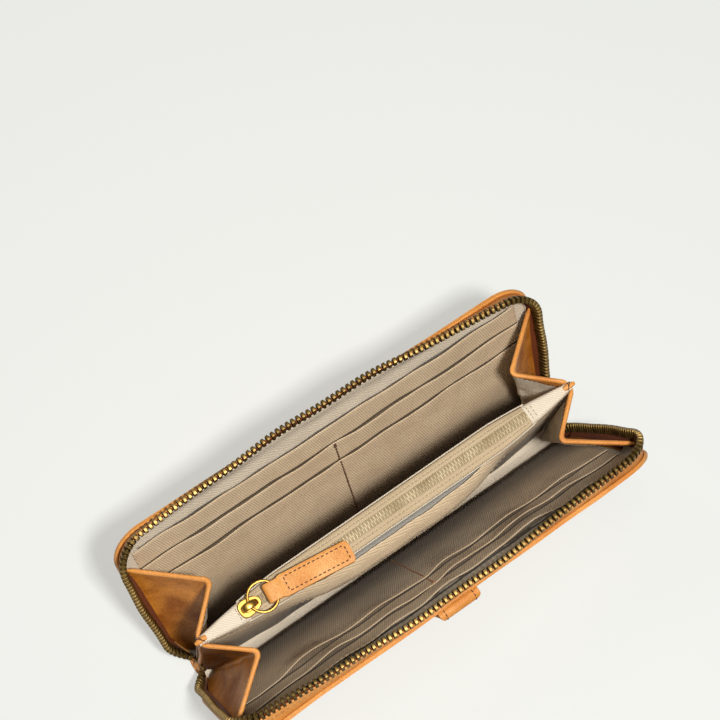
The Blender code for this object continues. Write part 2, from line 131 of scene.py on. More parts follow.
# Gussets. On the cover: x at the foot, along the side and at the top; depth at foot and top; height span.
# The tops of the folds and both ends of the pocket line are points for the right end of the far cover.
# Across a gusset, u is 0 on the cover and 1 on the pocket: where the fold lies, and how much it follows.
GUSSET_COVER = (92.2, 95.8, 97.8)
GUSSET_DEPTH = (3.1, 4.6)
GUSSET_SPAN = (5.0, 81.0)
GUSSET_FOLD = {"far": (74.0, 17.6, 80.0), "near": (74.0, 16.4, 80.0)}
GUSSET_POCKET_FOOT = (91.4, 2.4, 6.0)
GUSSET_POCKET_TOP = (91.4, 1.8, 80.0)
FOLD_FROM, FOLD_TO = 0.42, 0.58
FOLD_FOLLOW = 0.57
GUSSET_SEAM_U = 0.13
SEAM_FLAP = 3.2

# Rings, pulls and the snap
RING_RADIUS = 6.2
RING_WIRE = 0.58
PULL_LOOP = 3.4
PULL_END = 33.4
PULL_HALF = 4.6
PULL_ROUND = 1.8
SNAP_H = 77.0


def smooth(t):
    """Smoothstep of t, clipped to 0 and 1."""
    t = np.clip(t, 0.0, 1.0)
    return t * t * (3 - 2 * t)


def unit(v):
    """Vectors along the last axis, scaled to length 1."""
    v = np.asarray(v, float)
    return v / np.maximum(np.linalg.norm(v, axis=-1, keepdims=True), 1e-9)


def mix(a, b, t):
    """a at t 0 and b at t 1."""
    return np.asarray(a) * (1 - t) + np.asarray(b) * t


def bezier(stops, t):
    """A Bezier curve through its first and last stops at the value or values t."""
    stops = [np.asarray(stop, float) for stop in stops]
    t = np.asarray(t, float)
    t = t[..., None] if t.ndim else t
    while len(stops) > 1:
        stops = [a * (1 - t) + b * t for a, b in zip(stops, stops[1:])]
    return stops[0]


def ripple(a, b, seed, length):
    """Soft unevenness from -1 to 1 whose waves are about length long."""
    rng = np.random.default_rng(seed)
    total = 0.0
    for _ in range(6):
        turn = rng.uniform(0, TAU)
        size = TAU / length * rng.uniform(0.6, 1.6)
        shift = rng.uniform(0, TAU)
        total = total + np.sin(size * (np.cos(turn) * a + np.sin(turn) * b) + shift)
    return total / 3.5


def joint_at(joint):
    """A joint's place."""
    return np.array(JOINTS[joint]["pos_m"]) / MM


class Cover:
    """One cover's frame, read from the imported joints."""

    def __init__(self, name, side):
        self.name = name
        self.side = side
        self.body = f"{name}_cover"
        self.edge = f"{name}_zip_edge"
        fold, edge = joint_at(self.body), joint_at(self.edge)
        self.y = side * fold[1]
        self.z = fold[2]
        reach = math.atan2(side * edge[1] - self.y, edge[2] - self.z)
        self.lean = reach + math.atan2(EDGE_HINGE_DEPTH, ZIP_TOP)
        self.stance = STANCE[name]

    def along(self, pair, x):
        """A value given at the left and right end, at x."""
        return mix(*pair, np.clip(x / (2 * COVER_HALF) + 0.5, 0, 1))

    def lean_at(self, x):
        """The cover is a little twisted: its two ends lean differently."""
        return self.lean + np.radians(self.along(self.stance["lean"], x))

    def at(self, x, h, d):
        """World place of points given in the cover's frame."""
        x, h, d = np.broadcast_arrays(x, h, d)
        lean = self.lean_at(x)
        y = self.y + h * np.sin(lean) - d * np.cos(lean)
        z = self.z + h * np.cos(lean) + d * np.sin(lean)
        left, right = self.stance["reach"]
        free = COVER_HALF - REACH_FROM
        out = right * smooth((x - REACH_FROM) / free) - left * smooth((-x - REACH_FROM) / free)
        return points(x + out * smooth(h / 60.0), self.side * y, z)


FAR = Cover("far", 1)
NEAR = Cover("near", -1)
COVERS = (FAR, NEAR)


# Meshes


def grid_faces(nu, nv, wrap_u=False, wrap_v=False, start=0):
    """Quads of a grid of nu by nv points."""
    count = (nu if wrap_u else nu - 1, nv if wrap_v else nv - 1)
    i, j = np.indices(count).reshape(2, -1)
    i2, j2 = (i + 1) % nu, (j + 1) % nv
    return (np.stack([i * nv + j, i2 * nv + j, i2 * nv + j2, i * nv + j2], axis=1) + start).tolist()


def build(name, verts, faces, mat, surf=None, wear=None, sharp=50):
    """Makes a mesh object; surf is each point's place on its cloth in millimetres; wear and painted shade are
    0 to 1.
    """
    mesh = bpy.data.meshes.new(name)
    mesh.from_pydata((np.asarray(verts, float) * MM).tolist(), [], faces)
    bm = bmesh.new()
    bm.from_mesh(mesh)
    bmesh.ops.recalc_face_normals(bm, faces=bm.faces)
    bm.to_mesh(mesh)
    bm.free()
    mesh.shade_smooth()
    mesh.set_sharp_from_angle(angle=math.radians(sharp))
    if surf is not None:
        layer = mesh.attributes.new("surf", "FLOAT_VECTOR", "POINT")
        layer.data.foreach_set("vector", np.asarray(surf, np.float32).ravel())
    if wear is not None:
        layer = mesh.attributes.new("wear", "FLOAT", "POINT")
        layer.data.foreach_set("value", np.asarray(wear, np.float32).ravel())
    mesh.materials.append(mat)
    obj = bpy.data.objects.new(name, mesh)
    bpy.context.scene.collection.objects.link(obj)
    return obj


def points(x, y, z):
    """Points from their coordinates, each of them an array or one number."""
    return np.stack(np.broadcast_arrays(x, y, z), axis=-1).astype(float)


def plan(u, v):
    """Places on a cloth, from the distances along and across it."""
    return points(u, v, 0.0)


def normals(grid):
    """Unit normals of a grid of points."""
    du = np.gradient(grid, axis=0)
    dv = np.gradient(grid, axis=1)
    return unit(np.cross(du, dv))


def outline_of(nu, nv):
    """Indices round the edge of a grid."""
    loop = [(0, j) for j in range(nv)] + [(i, nv - 1) for i in range(1, nu)]
    return loop + [(nu - 1, j) for j in range(nv - 2, -1, -1)] + [(i, 0) for i in range(nu - 2, 0, -1)]


def sheet(name, front, back, mat, surf=None, round_edge=0.3, wear_edge=1.0, weights=None):
    """A closed sheet between two grids, with a rounded edge; returns (object, weights of its points)."""
    nu, nv = front.shape[:2]
    loop = outline_of(nu, nv)
    edge_i, edge_j = np.array(loop).T
    inner_i = np.clip(edge_i, 1, nu - 2) if nu > 2 else edge_i
    inner_j = np.clip(edge_j, 1, nv - 2) if nv > 2 else edge_j
    middle = (front[edge_i, edge_j] + back[edge_i, edge_j]) / 2
    inside = (front[inner_i, inner_j] + back[inner_i, inner_j]) / 2
    middle = middle + unit(middle - inside) * round_edge
    count = nu * nv
    verts = np.concatenate([front.reshape(-1, 3), back.reshape(-1, 3), middle])
    faces = grid_faces(nu, nv) + grid_faces(nu, nv, start=count)
    ring = (edge_i * nv + edge_j).tolist()
    n = len(loop)
    for k in range(n):
        m = (k + 1) % n
        for start in (0, count):
            faces.append([ring[k] + start, ring[m] + start, 2 * count + m, 2 * count + k])
    if surf is None:
        u, v = np.zeros((2, nu, nv))
        u[1:] = np.cumsum(np.linalg.norm(np.diff(front, axis=0), axis=2), axis=0)
        v[:, 1:] = np.cumsum(np.linalg.norm(np.diff(front, axis=1), axis=2), axis=1)
        surf = plan(u, v)
    flat = surf.reshape(-1, 3)
    all_surf = np.concatenate([flat, flat + [0, 0, 1], surf[edge_i, edge_j]])
    wear = np.concatenate([np.zeros(2 * count), np.full(n, wear_edge)])
    obj = build(name, verts, faces, mat, all_surf, wear)
    if weights is None:
        return obj, None
    flat_w = weights.reshape(-1)
    return obj, np.concatenate([flat_w, flat_w, weights[edge_i, edge_j]])


def mark(obj, shares, rim=0.0):
    """Sets a sheet's wear and painted shade from a grid of values, the same on both sides, and rim on its
    edge.
    """
    flat = np.asarray(shares, np.float32).ravel()
    rest = np.full(len(obj.data.vertices) - 2 * len(flat), rim, np.float32)
    obj.data.attributes["wear"].data.foreach_set("value", np.concatenate([flat, flat, rest]))


def bend(obj, start):
    """Bakes obj's transform into its mesh; start is not used."""
    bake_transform(obj)


def bend_edge(cover, obj):
    """Bakes the transform of a piece on a cover's zip edge."""
    hinge = cover.at(0.0, ZIP_TOP, EDGE_HINGE_DEPTH)
    bend(obj, hinge)


def bend_foot(obj):
    """Bakes the transform of a piece at the spine."""
    bend(obj, (0, 0, 0))


def bend_gusset(cover, obj):
    """Bakes the transform of a gusset piece."""
    bend(obj, cover.at(0.0, 0.0, 0.0))


def put(obj, body, slot=None, *nodes):
    """Rides obj on a body unless it is None, and hides its CAD nodes; slot is not used."""
    if body:
        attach(obj, body)
    if nodes:
        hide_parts(*nodes)


def tube_mesh(path, up, wide, tall, sides=10, closed=False):
    """Points and faces of a tube with an elliptical section; up is a rough direction."""
    if closed:
        tangent = unit(np.roll(path, -1, axis=0) - np.roll(path, 1, axis=0))
    else:
        tangent = unit(np.gradient(path, axis=0))
    side = unit(np.cross(np.broadcast_to(up, path.shape), tangent))
    rise = np.cross(tangent, side)
    angle = np.linspace(0, TAU, sides, endpoint=False)
    wide = np.broadcast_to(wide, len(path))[:, None, None]
    tall = np.broadcast_to(tall, len(path))[:, None, None]
    ring = side[:, None, :] * np.cos(angle)[None, :, None] * wide
    ring = ring + rise[:, None, :] * np.sin(angle)[None, :, None] * tall
    return loft(path[:, None, :] + ring, closed)


def length_along(path):
    """Distance from the start at each point of a path."""
    return np.concatenate([[0.0], np.cumsum(np.linalg.norm(np.diff(path, axis=0), axis=1))])


def tube(name, path, up, wide, tall, mat, sides=10, closed=False, wear=None):
    """A tube object; surf u runs along it and v round it."""
    path = np.asarray(path, float)
    verts, faces = tube_mesh(path, up, wide, tall, sides, closed)
    u = np.repeat(length_along(path), sides)
    v = np.tile(np.linspace(0, TAU, sides, endpoint=False), len(path))
    surf = np.stack([u, v, np.zeros_like(u)], axis=1)
    return build(name, verts, faces, mat, surf, wear)


def copies(template, faces, at, along, across, rise):
    """Copies of a template placed on each point's own axes."""
    template = np.asarray(template, float)
    at, along, across, rise = (np.asarray(a, float) for a in (at, along, across, rise))
    verts = at[:, None, :] + template[None, :, 0:1] * along[:, None, :]
    verts = verts + template[None, :, 1:2] * across[:, None, :] + template[None, :, 2:3] * rise[:, None, :]
    count = len(template)
    every = [[index + k * count for index in face] for k in range(len(at)) for face in faces]
    return verts.reshape(-1, 3), every


def sampled(path, pitch, *others):
    """Points at an even pitch along a path, with the other arrays sampled at the same places."""
    along = length_along(path)
    count = max(1, int(along[-1] / pitch))
    places = (np.arange(count) + 0.5) * along[-1] / count
    return [np.stack([np.interp(places, along, row) for row in array.T], axis=1) for array in (path, *others)]


def stitch_template(length, radius):
    """A short strand whose ends dive in."""
    half = [(0.5, -1.0, 0.35), (0.42, -0.2, 0.8), (0.2, 0.25, 1.0)]
    angle = TAU * np.arange(6) / 6
    rings = []
    for place, lift, size in [(-place, lift, size) for place, lift, size in half] + half[::-1]:
        across, rise = radius * size * np.cos(angle), radius * (lift + size * np.sin(angle))
        rings.append(points(place * length, across, rise))
    return loft(rings)


def stitches(name, path, up, mat, pitch=2.6, share=0.68, radius=0.24):
    """A row of stitches along a path on a surface whose outward direction is up."""
    path = np.asarray(path, float)
    up = unit(np.broadcast_to(up, path.shape))
    tangent = unit(np.gradient(path, axis=0))
    at, along, rise = sampled(path, pitch, tangent, up)
    along = unit(along)
    across = unit(np.cross(rise, along))
    rise = np.cross(along, across)
    step = length_along(path)[-1] / len(at)
    template, faces = stitch_template(step * share, radius)
    verts, every = copies(template, faces, at, along, across, rise)
    surf = np.tile(np.asarray(template), (len(at), 1))
    return build(name, verts, every, mat, surf)


def loft(rings, closed=False):
    """Points and faces of a body through rings of equal count; capped at both ends unless it is closed."""
    count, sides = len(rings), len(rings[0])
    faces = grid_faces(count, sides, wrap_u=closed, wrap_v=True)
    if not closed:
        faces += [[start + k for k in range(sides)] for start in (0, (count - 1) * sides)]
    return np.concatenate([np.asarray(ring, float) for ring in rings]), faces


def merge(*parts):
    """Joins (points, faces) parts into one pair."""
    faces = []
    start = 0
    for verts, quads in parts:
        faces += [[index + start for index in quad] for quad in quads]
        start += len(verts)
    return np.concatenate([verts for verts, _ in parts]), faces


def rounded_plate(outline, low, high, bevel=0.35):
    """Points and faces of a plate in x, y with softened edges."""
    outline = np.asarray(outline, float)
    centre = outline.mean(axis=0)
    reach = np.abs(outline - centre).max(axis=0)
    inset = centre + (outline - centre) * (1 - bevel / reach)
    rings = []
    for shape, z in ((inset, low), (outline, low + bevel), (outline, high - bevel), (inset, high)):
        rings.append(np.column_stack([shape, np.full(len(shape), z)]))
    return loft(rings)


def placed(verts, origin, x_axis, y_axis, z_axis):
    """Points moved from a local frame to the world."""
    axes = np.array([x_axis, y_axis, z_axis], float)
    return np.asarray(verts, float) @ axes + np.asarray(origin, float)


# Materials


class Shader:
    """A node material under construction."""

    def __init__(self, name, **values):
        self.mat = bpy.data.materials.new(name)
        self.mat.use_nodes = True
        self.tree = self.mat.node_tree
        self.out = self.tree.nodes["Principled BSDF"]
        for key, value in values.items():
            self.out.inputs[key.replace("_", " ")].default_value = value

    def node(self, kind, inputs=(), **settings):
        made = self.tree.nodes.new(f"ShaderNode{kind}")
        for key, value in settings.items():
            setattr(made, key, value)
        for key, value in dict(inputs).items():
            self.wire(made.inputs[key], value)
        return made

    def wire(self, socket, value):
        if isinstance(value, bpy.types.NodeSocket):
            self.tree.links.new(value, socket)
        else:
            socket.default_value = value

    def place(self):
        return self.node("TexCoord").outputs["Object"]

    def calc(self, operation, a, b=0.0, c=0.0):
        return self.node("Math", {0: a, 1: b, 2: c}, operation=operation).outputs[0]

    def times(self, a, b):
        return self.calc("MULTIPLY", a, b)

    def toward(self, colour, target, share, amount):
        """A colour moved to a target by a share of an amount."""
        return self.blend(self.times(share, amount), colour, target)

    def rest_of(self, value):
        return self.calc("SUBTRACT", 1.0, value)

    def blend(self, share, a, b):
        made = self.node("Mix", {0: share}, data_type="RGBA")
        self.wire(made.inputs[6], a)
        self.wire(made.inputs[7], b)
        return made.outputs[2]

    def noise(self, scale, detail=3.0, rough=0.55):
        inputs = {"Vector": self.place(), "Scale": scale, "Detail": detail, "Roughness": rough}
        return self.node("TexNoise", inputs).outputs["Fac"]

    def cells(self, scale, place):
        made = self.node("TexVoronoi", {"Vector": place, "Scale": scale}, feature="DISTANCE_TO_EDGE")
        return made.outputs["Distance"]

    def range(self, value, low, high, to_low=0.0, to_high=1.0):
        return self.node("MapRange", {0: value, 1: low, 2: high, 3: to_low, 4: to_high}).outputs[0]

    def surf(self):
        place = self.node("Attribute", attribute_name="surf").outputs["Vector"]
        return self.node("SeparateXYZ", {0: place}).outputs[:2]

    # The point attribute that holds real wear and painted shade.
    def wear(self):
        return self.node("Attribute", attribute_name="wear").outputs["Fac"]

    def stripes(self, u, v, pitch, angle):
        """A wave from 0 to 1 across lines at an angle to u."""
        along = self.times(u, math.cos(angle) * TAU / pitch)
        across = self.times(v, math.sin(angle) * TAU / pitch)
        wave = self.calc("SINE", self.calc("ADD", along, across))
        return self.calc("MULTIPLY_ADD", wave, 0.5, 0.5)

    def bump(self, *layers):
        """Stacks bumps given as (height, strength, depth in millimetres)."""
        normal = None
        for height, strength, depth in layers:
            inputs = {"Height": height, "Strength": strength, "Distance": depth * MM}
            if normal is not None:
                inputs["Normal"] = normal
            normal = self.node("Bump", inputs).outputs[0]
        self.wire(self.out.inputs["Normal"], normal)

    def finish(self, colour, roughness=None):
        self.wire(self.out.inputs["Base Color"], colour)
        if roughness is not None:
            self.wire(self.out.inputs["Roughness"], roughness)
        return self.mat


def rgb(red, green, blue):
    """A linear colour from the 0 to 255 values seen on a screen."""
    values = [c / 255.0 for c in (red, green, blue)]
    return (*[c / 12.92 if c <= 0.04045 else ((c + 0.055) / 1.055) ** 2.4 for c in values], 1.0)


def leather(name, light, dark, burnt_and_shade, grain=0.9, gloss=0.46, edge=0.45, shine=0.3):
    """Full-grain leather: mottled colour, a pebbled grain with pores, burnished edges, and painted shade
    where it is marked.
    """
    shader = Shader(name, Specular_IOR_Level=shine)
    mottle = shader.range(shader.noise(60, 5.0, 0.6), 0.35, 0.68)
    cloud = shader.range(shader.noise(14, 2.0), 0.38, 0.62)
    warp = shader.noise(500, 2.0)
    place = shader.place()
    offset = shader.node("VectorMath", {0: place, 1: warp_vector(shader, warp)}, operation="ADD").outputs[0]
    pebble = shader.range(shader.cells(1000 / grain, offset), 0.0, 0.28)
    pores = shader.range(shader.noise(1500, 2.0), 0.30, 0.46)
    colour = shader.blend(mottle, dark, light)
    colour = shader.toward(colour, light, cloud, 0.45)
    colour = shader.toward(colour, burnt_and_shade, shader.rest_of(pebble), 0.34)
    colour = shader.toward(colour, burnt_and_shade, shader.rest_of(pores), 0.25)
    # Burnished edges, and painted shade where a piece is marked: both darken towards the burnt tone.
    colour = shader.toward(colour, burnt_and_shade, shader.wear(), edge)
    rough = shader.range(mottle, 0.0, 1.0, gloss + 0.12, gloss - 0.04)
    shader.bump((pebble, 0.30, 0.12), (shader.noise(260, 4.0), 0.25, 0.25), (pores, 0.2, 0.05))
    return shader.finish(colour, rough)


def warp_vector(shader, value):
    """A small offset in every direction from one value."""
    shift = shader.times(shader.calc("SUBTRACT", value, 0.5), 0.0006)
    return shader.node("CombineXYZ", {0: shift, 1: shift, 2: shift}).outputs[0]


def twill(name, light, dark, soil, pitch=0.78, angle=0.3, depth=0.16, sheen=0.06):
    """A fine diagonal weave with yarn breaks, faint soiling, a soft sheen and painted shade."""
    shader = Shader(name, Sheen_Weight=sheen, Sheen_Roughness=0.45, Specular_IOR_Level=0.15)
    u, v = shader.surf()
    rib = shader.stripes(u, v, pitch, angle)
    yarn = shader.stripes(u, v, pitch * 0.62, angle - math.pi / 2)
    fuzz = shader.noise(1800, 2.0)
    cloud = shader.range(shader.noise(32, 3.0, 0.6), 0.36, 0.66)
    patchy = shader.range(shader.noise(150, 3.0), 0.3, 0.7, 0.45, 0.95)
    colour = shader.blend(shader.calc("MULTIPLY_ADD", shader.times(rib, patchy), 0.9, 0.12), dark, light)
    colour = shader.toward(colour, dark, yarn, 0.16)
    colour = shader.toward(colour, soil, cloud, 0.30)
    colour = shader.toward(colour, light, shader.range(fuzz, 0.35, 0.7), 0.14)
    # Painted shade: the wear-and-shade values pull the cloth towards SHADE.
    colour = shader.toward(colour, SHADE, shader.wear(), 0.88)
    weave = shader.calc("MULTIPLY_ADD", yarn, 0.35, rib)
    shader.bump((weave, 0.6, depth), (fuzz, 0.2, 0.06), (shader.noise(90, 2.0), 0.3, 0.5))
    return shader.finish(colour, shader.range(cloud, 0.0, 1.0, 0.72, 0.88))


def herringbone(name, light, dark, pitch=0.7, period=2.6, sheen=0.04):
    """Woven zip tape: a zigzag of fine ribs."""
    shader = Shader(name, Sheen_Weight=sheen, Sheen_Roughness=0.4, Specular_IOR_Level=0.12)
    u, v = shader.surf()
    fold = shader.calc("PINGPONG", v, period / 2)
    rib = shader.stripes(u, fold, pitch, 0.9)
    fuzz = shader.noise(1500, 2.0)
    colour = shader.blend(shader.calc("MULTIPLY_ADD", rib, 0.8, 0.05), dark, light)
    colour = shader.blend(shader.range(shader.noise(45, 3.0), 0.4, 0.7, 0.0, 0.35), colour, dark)
    shader.bump((rib, 0.5, 0.12), (fuzz, 0.2, 0.06))
    return shader.finish(colour, shader.range(fuzz, 0.3, 0.7, 0.68, 0.86))


def brass(name, bright, dull, shine, patina):
    """Brass with patina in its hollows; the wear attribute marks what rubs bright."""
    shader = Shader(name, Metallic=1.0)
    stain = shader.range(shader.noise(420, 4.0, 0.65), 0.32, 0.68)
    grime = shader.times(shader.rest_of(shader.wear()), patina)
    share = shader.calc("MULTIPLY_ADD", stain, 0.30 * patina, grime)
    colour = shader.blend(shader.calc("MINIMUM", share, 1.0), bright, dull)
    scratch = shader.noise(2600, 2.0)
    rough = shader.calc("MULTIPLY_ADD", share, 0.28, shine)
    shader.bump((scratch, 0.12, 0.03), (shader.noise(500, 3.0), 0.15, 0.08))
    return shader.finish(colour, shader.calc("MINIMUM", rough, 0.75))


def nylon(name, light, dark):
    """Moulded coil with a dull shine; the wear-and-shade values mark painted shade, pulling the colour to a
    darker gap colour.
    """
    shader = Shader(name, Specular_IOR_Level=0.25)
    tint = shader.range(shader.noise(180, 3.0), 0.35, 0.65)
    colour = shader.blend(shader.wear(), shader.blend(tint, dark, light), COIL_GAP_SHADE)
    shader.bump((shader.noise(900, 2.0), 0.1, 0.04))
    return shader.finish(colour, shader.range(tint, 0, 1, 0.55, 0.68))


def thread(name, light, dark):
    """Waxed sewing thread with its twist."""
    shader = Shader(name, Roughness=0.55, Specular_IOR_Level=0.4)
    u, v = shader.surf()
    twist = shader.stripes(u, v, 0.5, 0.6)
    shader.bump((twist, 0.4, 0.08))
    tint = shader.calc("MULTIPLY_ADD", twist, 0.6, shader.times(shader.noise(300), 0.4))
    return shader.finish(shader.blend(tint, dark, light))


def fibreboard(name, light, dark):
    """Pressed grey-brown board."""
    shader = Shader(name, Roughness=0.9)
    speck = shader.range(shader.noise(900, 4.0, 0.7), 0.35, 0.65)
    shader.bump((speck, 0.3, 0.1))
    return shader.finish(shader.blend(speck, dark, light))


# Painted shade: the dark that cloth is pulled to in slot mouths, deep folds and the pocket's lower walls.
SHADE = rgb(48, 33, 18)
# Painted shade: the dark colour the coil's core takes between its turns.
COIL_GAP_SHADE = rgb(132, 112, 82)
LEATHER_TAN = leather("tan_leather", rgb(226, 160, 84), rgb(204, 132, 58), rgb(128, 66, 14))
# The gusset leather's very dark burnt tone and high edge share also carry painted shade on its inner panel
# and foot.
LEATHER_GUSSET = leather(
    "gusset_leather", rgb(232, 148, 50), rgb(156, 82, 12), rgb(62, 26, 1), 1.1, 0.44, 0.9, 0.12
)
LEATHER_BINDING = leather(
    "binding_leather", rgb(226, 156, 78), rgb(200, 126, 54), rgb(140, 78, 28), 0.8, 0.42
)
TWILL = twill("taupe_twill", rgb(216, 195, 164), rgb(168, 144, 113), rgb(178, 149, 114), 0.95)
TWILL_GREY = twill("grey_lining", rgb(222, 208, 186), rgb(186, 171, 148), rgb(190, 174, 150), 0.75, 0.8)
# Painted shade: a darker copy of the twill for the recessed facing in the coin pocket's mouth.
TWILL_SHADED_FACING = twill("shaded_facing", rgb(160, 154, 144), rgb(124, 118, 108), rgb(136, 130, 120), 0.7, 0.8)
TWILL_WALL = twill("wall_twill", rgb(224, 202, 168), rgb(176, 152, 120), rgb(190, 164, 130), 1.0, 1.35)
TWILL_CREAM = twill("cream_twill", rgb(224, 212, 192), rgb(190, 174, 150), rgb(204, 188, 162), 0.95, 0.75)
COIN_TAPE = herringbone("coin_tape", rgb(200, 180, 148), rgb(160, 138, 106), 0.55, 1.6)
ZIP_TAPE = herringbone("zip_tape", rgb(142, 72, 30), rgb(62, 28, 10))
BRASS_TEETH = brass("antique_brass", rgb(150, 122, 70), rgb(44, 30, 10), 0.42, 0.85)
BRASS_BRIGHT = brass("bright_brass", rgb(220, 172, 84), rgb(128, 88, 30), 0.34, 0.6)
COIL = nylon("nylon_coil", rgb(204, 186, 150), rgb(164, 144, 110))
THREAD = thread("dark_thread", rgb(92, 54, 30), rgb(40, 22, 12))
THREAD_TAN = thread("tan_thread", rgb(178, 118, 66), rgb(118, 70, 36))
THREAD_BROWN = thread("brown_thread", rgb(150, 100, 66), rgb(96, 58, 34))
THREAD_TAUPE = thread("taupe_thread", rgb(168, 146, 112), rgb(112, 94, 68))
BOARD = fibreboard("board", rgb(150, 134, 110), rgb(110, 96, 76))


# Shell: leather, boards and lining


def cover_half(h):
    """Half the shell's width at height h on a cover."""
    h = np.asarray(h, float)
    foot = FOOT_HALF + (COVER_HALF - FOOT_HALF) * smooth(h / FOOT_RISE)
    over = np.clip(h - (COVER_TOP - COVER_CORNER), 0, COVER_CORNER)
    return np.where(over > 0, COVER_HALF - COVER_CORNER + np.sqrt(COVER_CORNER**2 - over**2), foot)


def edge_distance(x, h):
    """Distance in from the shell's outline on a cover."""
    straight = np.minimum(cover_half(np.minimum(h, COVER_TOP - COVER_CORNER)) - np.abs(x), COVER_TOP - h)
    cx = np.abs(x) - (COVER_HALF - COVER_CORNER)
    ch = h - (COVER_TOP - COVER_CORNER)
    corner = COVER_CORNER - np.hypot(np.maximum(cx, 0), np.maximum(ch, 0))
    return np.where((cx > 0) & (ch > 0), corner, straight)


def edge_roll(x, h):
    """The turned edge: a low bead with a pressed line inside it."""
    distance = edge_distance(x, h)
    bead = 0.42 * np.exp(-(((distance - 0.55) / 0.5) ** 2))
    return bead - 0.28 * np.exp(-(((distance - 1.65) / 0.32) ** 2))


def columns(half, near=(0.0, 0.25, 0.55, 0.9, 1.3, 1.65, 2.0, 2.6, 4.5), inner=31):
    """Places across a row, from -1 to 1 times half, close together at both ends."""
    left = [-half + k for k in near]
    middle = np.linspace(left[-1], -left[-1], inner + 2)[1:-1]
    return np.concatenate([left, middle, [-k for k in reversed(left)]])


def spine_node(cover, layer):
    """The spine's layer is made with the far cover's."""
    return [f"spine_{layer}"] if cover is FAR else []


def shell(cover):
    """Half the shell: from the middle of the spine, round the fold and up the cover."""
    start, rise = 6.0, 6.0
    heights = list(np.linspace(rise, COVER_TOP - COVER_CORNER, 14))[1:]
    turns = np.radians(np.concatenate([np.linspace(8, 64, 8), [68, 72, 75.5, 78.5, 81, 84, 87, 90]]))
    heights += list(COVER_TOP - COVER_CORNER + COVER_CORNER * np.sin(turns))
    outer, inner, surf = [], [], []
    for y in np.linspace(0, start, 5)[:-1]:
        x = columns(SPINE_END - (SPINE_END - FOOT_HALF) * y / start)
        outer.append(points(x, cover.side * y, 0.0))
        inner.append(outer[-1] + [0, 0, LEATHER])
        surf.append(y)
    for t in np.linspace(0, 1, 11):
        x = columns(FOOT_HALF)
        for rows, depth, z in ((outer, -LEATHER, 0.0), (inner, 0.0, LEATHER)):
            end = cover.at(x, rise, depth)
            lean = cover.lean_at(x)
            knee_h = (z - cover.z - depth * np.sin(lean)) / np.cos(lean)
            knee = cover.at(x, knee_h, depth)
            row = bezier([points(x, cover.side * start, z), knee, end], t)
            row[:, 0] = columns(mix(FOOT_HALF, float(cover_half(rise)), t))
            rows.append(row)
        surf.append(start + 8 * t)
    for h in heights:
        x = columns(float(cover_half(h)))
        roll = edge_roll(x, h)
        wave = 0.25 * ripple(x, h, 11 + cover.side, 45.0)
        outer.append(cover.at(x, h, -LEATHER - roll * 0.6 + wave))
        inner.append(cover.at(x, h, roll + wave * 0.5))
        surf.append(start + 8 + h - rise)
    outer, inner = np.array(outer), np.array(inner)
    place = plan(outer[..., 0], np.array(surf)[:, None])
    obj, _ = sheet(f"{cover.name}_shell", outer, inner, LEATHER_TAN, place, 0.35, 0.35)
    bend(obj, (0, cover.side * 8.0, 0))
    put(obj, None, "tan_leather", f"{cover.name}_cover_leather", *spine_node(cover, "leather"))


def shell_seam(cover):
    """The stitch line round the outside of the cover, which holds the zip in."""
    inset = 3.3
    path = []
    for h in np.linspace(8, COVER_TOP - COVER_CORNER, 20):
        path.append((float(cover_half(h)) - inset, h))
    radius = COVER_CORNER - inset
    for a in np.radians(np.linspace(6, 90, 15)):
        corner_x = COVER_HALF - COVER_CORNER + radius * math.cos(a)
        path.append((corner_x, COVER_TOP - COVER_CORNER + radius * math.sin(a)))
    path += [(-x, h) for x, h in reversed(path)]
    outside_stitches(f"{cover.name}_shell_stitches", cover, path, -LEATHER - 0.1, 11 + cover.side, 0.26)


def outside_stitches(name, cover, path, depth, seed, radius):
    """Stitches along points (x, h) outside a cover, at a depth that follows the leather's waves."""
    x, h = np.array(path).T
    depth = depth + 0.25 * ripple(x, h, seed, 45.0)
    points = cover.at(x, h, depth)
    up = points - cover.at(x, h, depth + 1)
    put(stitches(name, points, up, THREAD_TAN, 2.7, 0.66, radius), cover.body)


def board(cover):
    """The stiffener between leather and lining."""
    x = np.linspace(-1, 1, 25)
    rows = []
    for h in np.linspace(5, 89, 16):
        corner = max(0.0, h - 78.0)
        half = 81.0 + math.sqrt(max(0.0, 12.0**2 - corner**2)) if corner else 93.0
        half = min(half, 88.5 + 4.5 * float(smooth((h - 5) / 8)))
        rows.append([(a * half, h) for a in x])
    rows = np.array(rows)
    front, back = (cover.at(rows[..., 0], rows[..., 1], d) for d in (0.62, 0.38))
    obj, _ = sheet(f"{cover.name}_board", front, back, BOARD, round_edge=0.1)
    put(obj, cover.body, "board", f"{cover.name}_cover_board")


def lining(cover):
    """Twill from the middle of the spine, round the fold and up behind the card slots."""
    top, rise, start, half_foot = 82.0, 7.0, 4.5, 92.0
    x = np.linspace(-1, 1, 41)
    front = []
    for y in (0.0, 2.0, start):
        front.append(points(x * half_foot, cover.side * y, 1.75))
    for t in np.linspace(0.1, 1, 9):
        end = cover.at(x * half_foot, rise, LINING_DEPTH)
        knee = cover.at(x * half_foot, 0.4, LINING_DEPTH)
        front.append(bezier([front[2], knee, end], t))
    for h in np.linspace(rise, top, 16)[1:]:
        half = half_foot + 3.0 * float(smooth((h - rise) / 8))
        front.append(cover.at(x * half, h, LINING_DEPTH + 0.12 * ripple(x * half, h, 5, 30.0)))
    front = np.array(front)
    back = front + normals(front) * -0.25 * cover.side
    place = plan(x * half_foot, np.arange(len(front))[:, None] * 4.0)
    obj, _ = sheet(f"{cover.name}_lining", front, back, TWILL_GREY, place, 0.1, 0.0)
    bend(obj, (0, cover.side * 7.2, 1.5))
    put(obj, None, "twill", f"{cover.name}_cover_lining", *spine_node(cover, "lining"))


# Zip


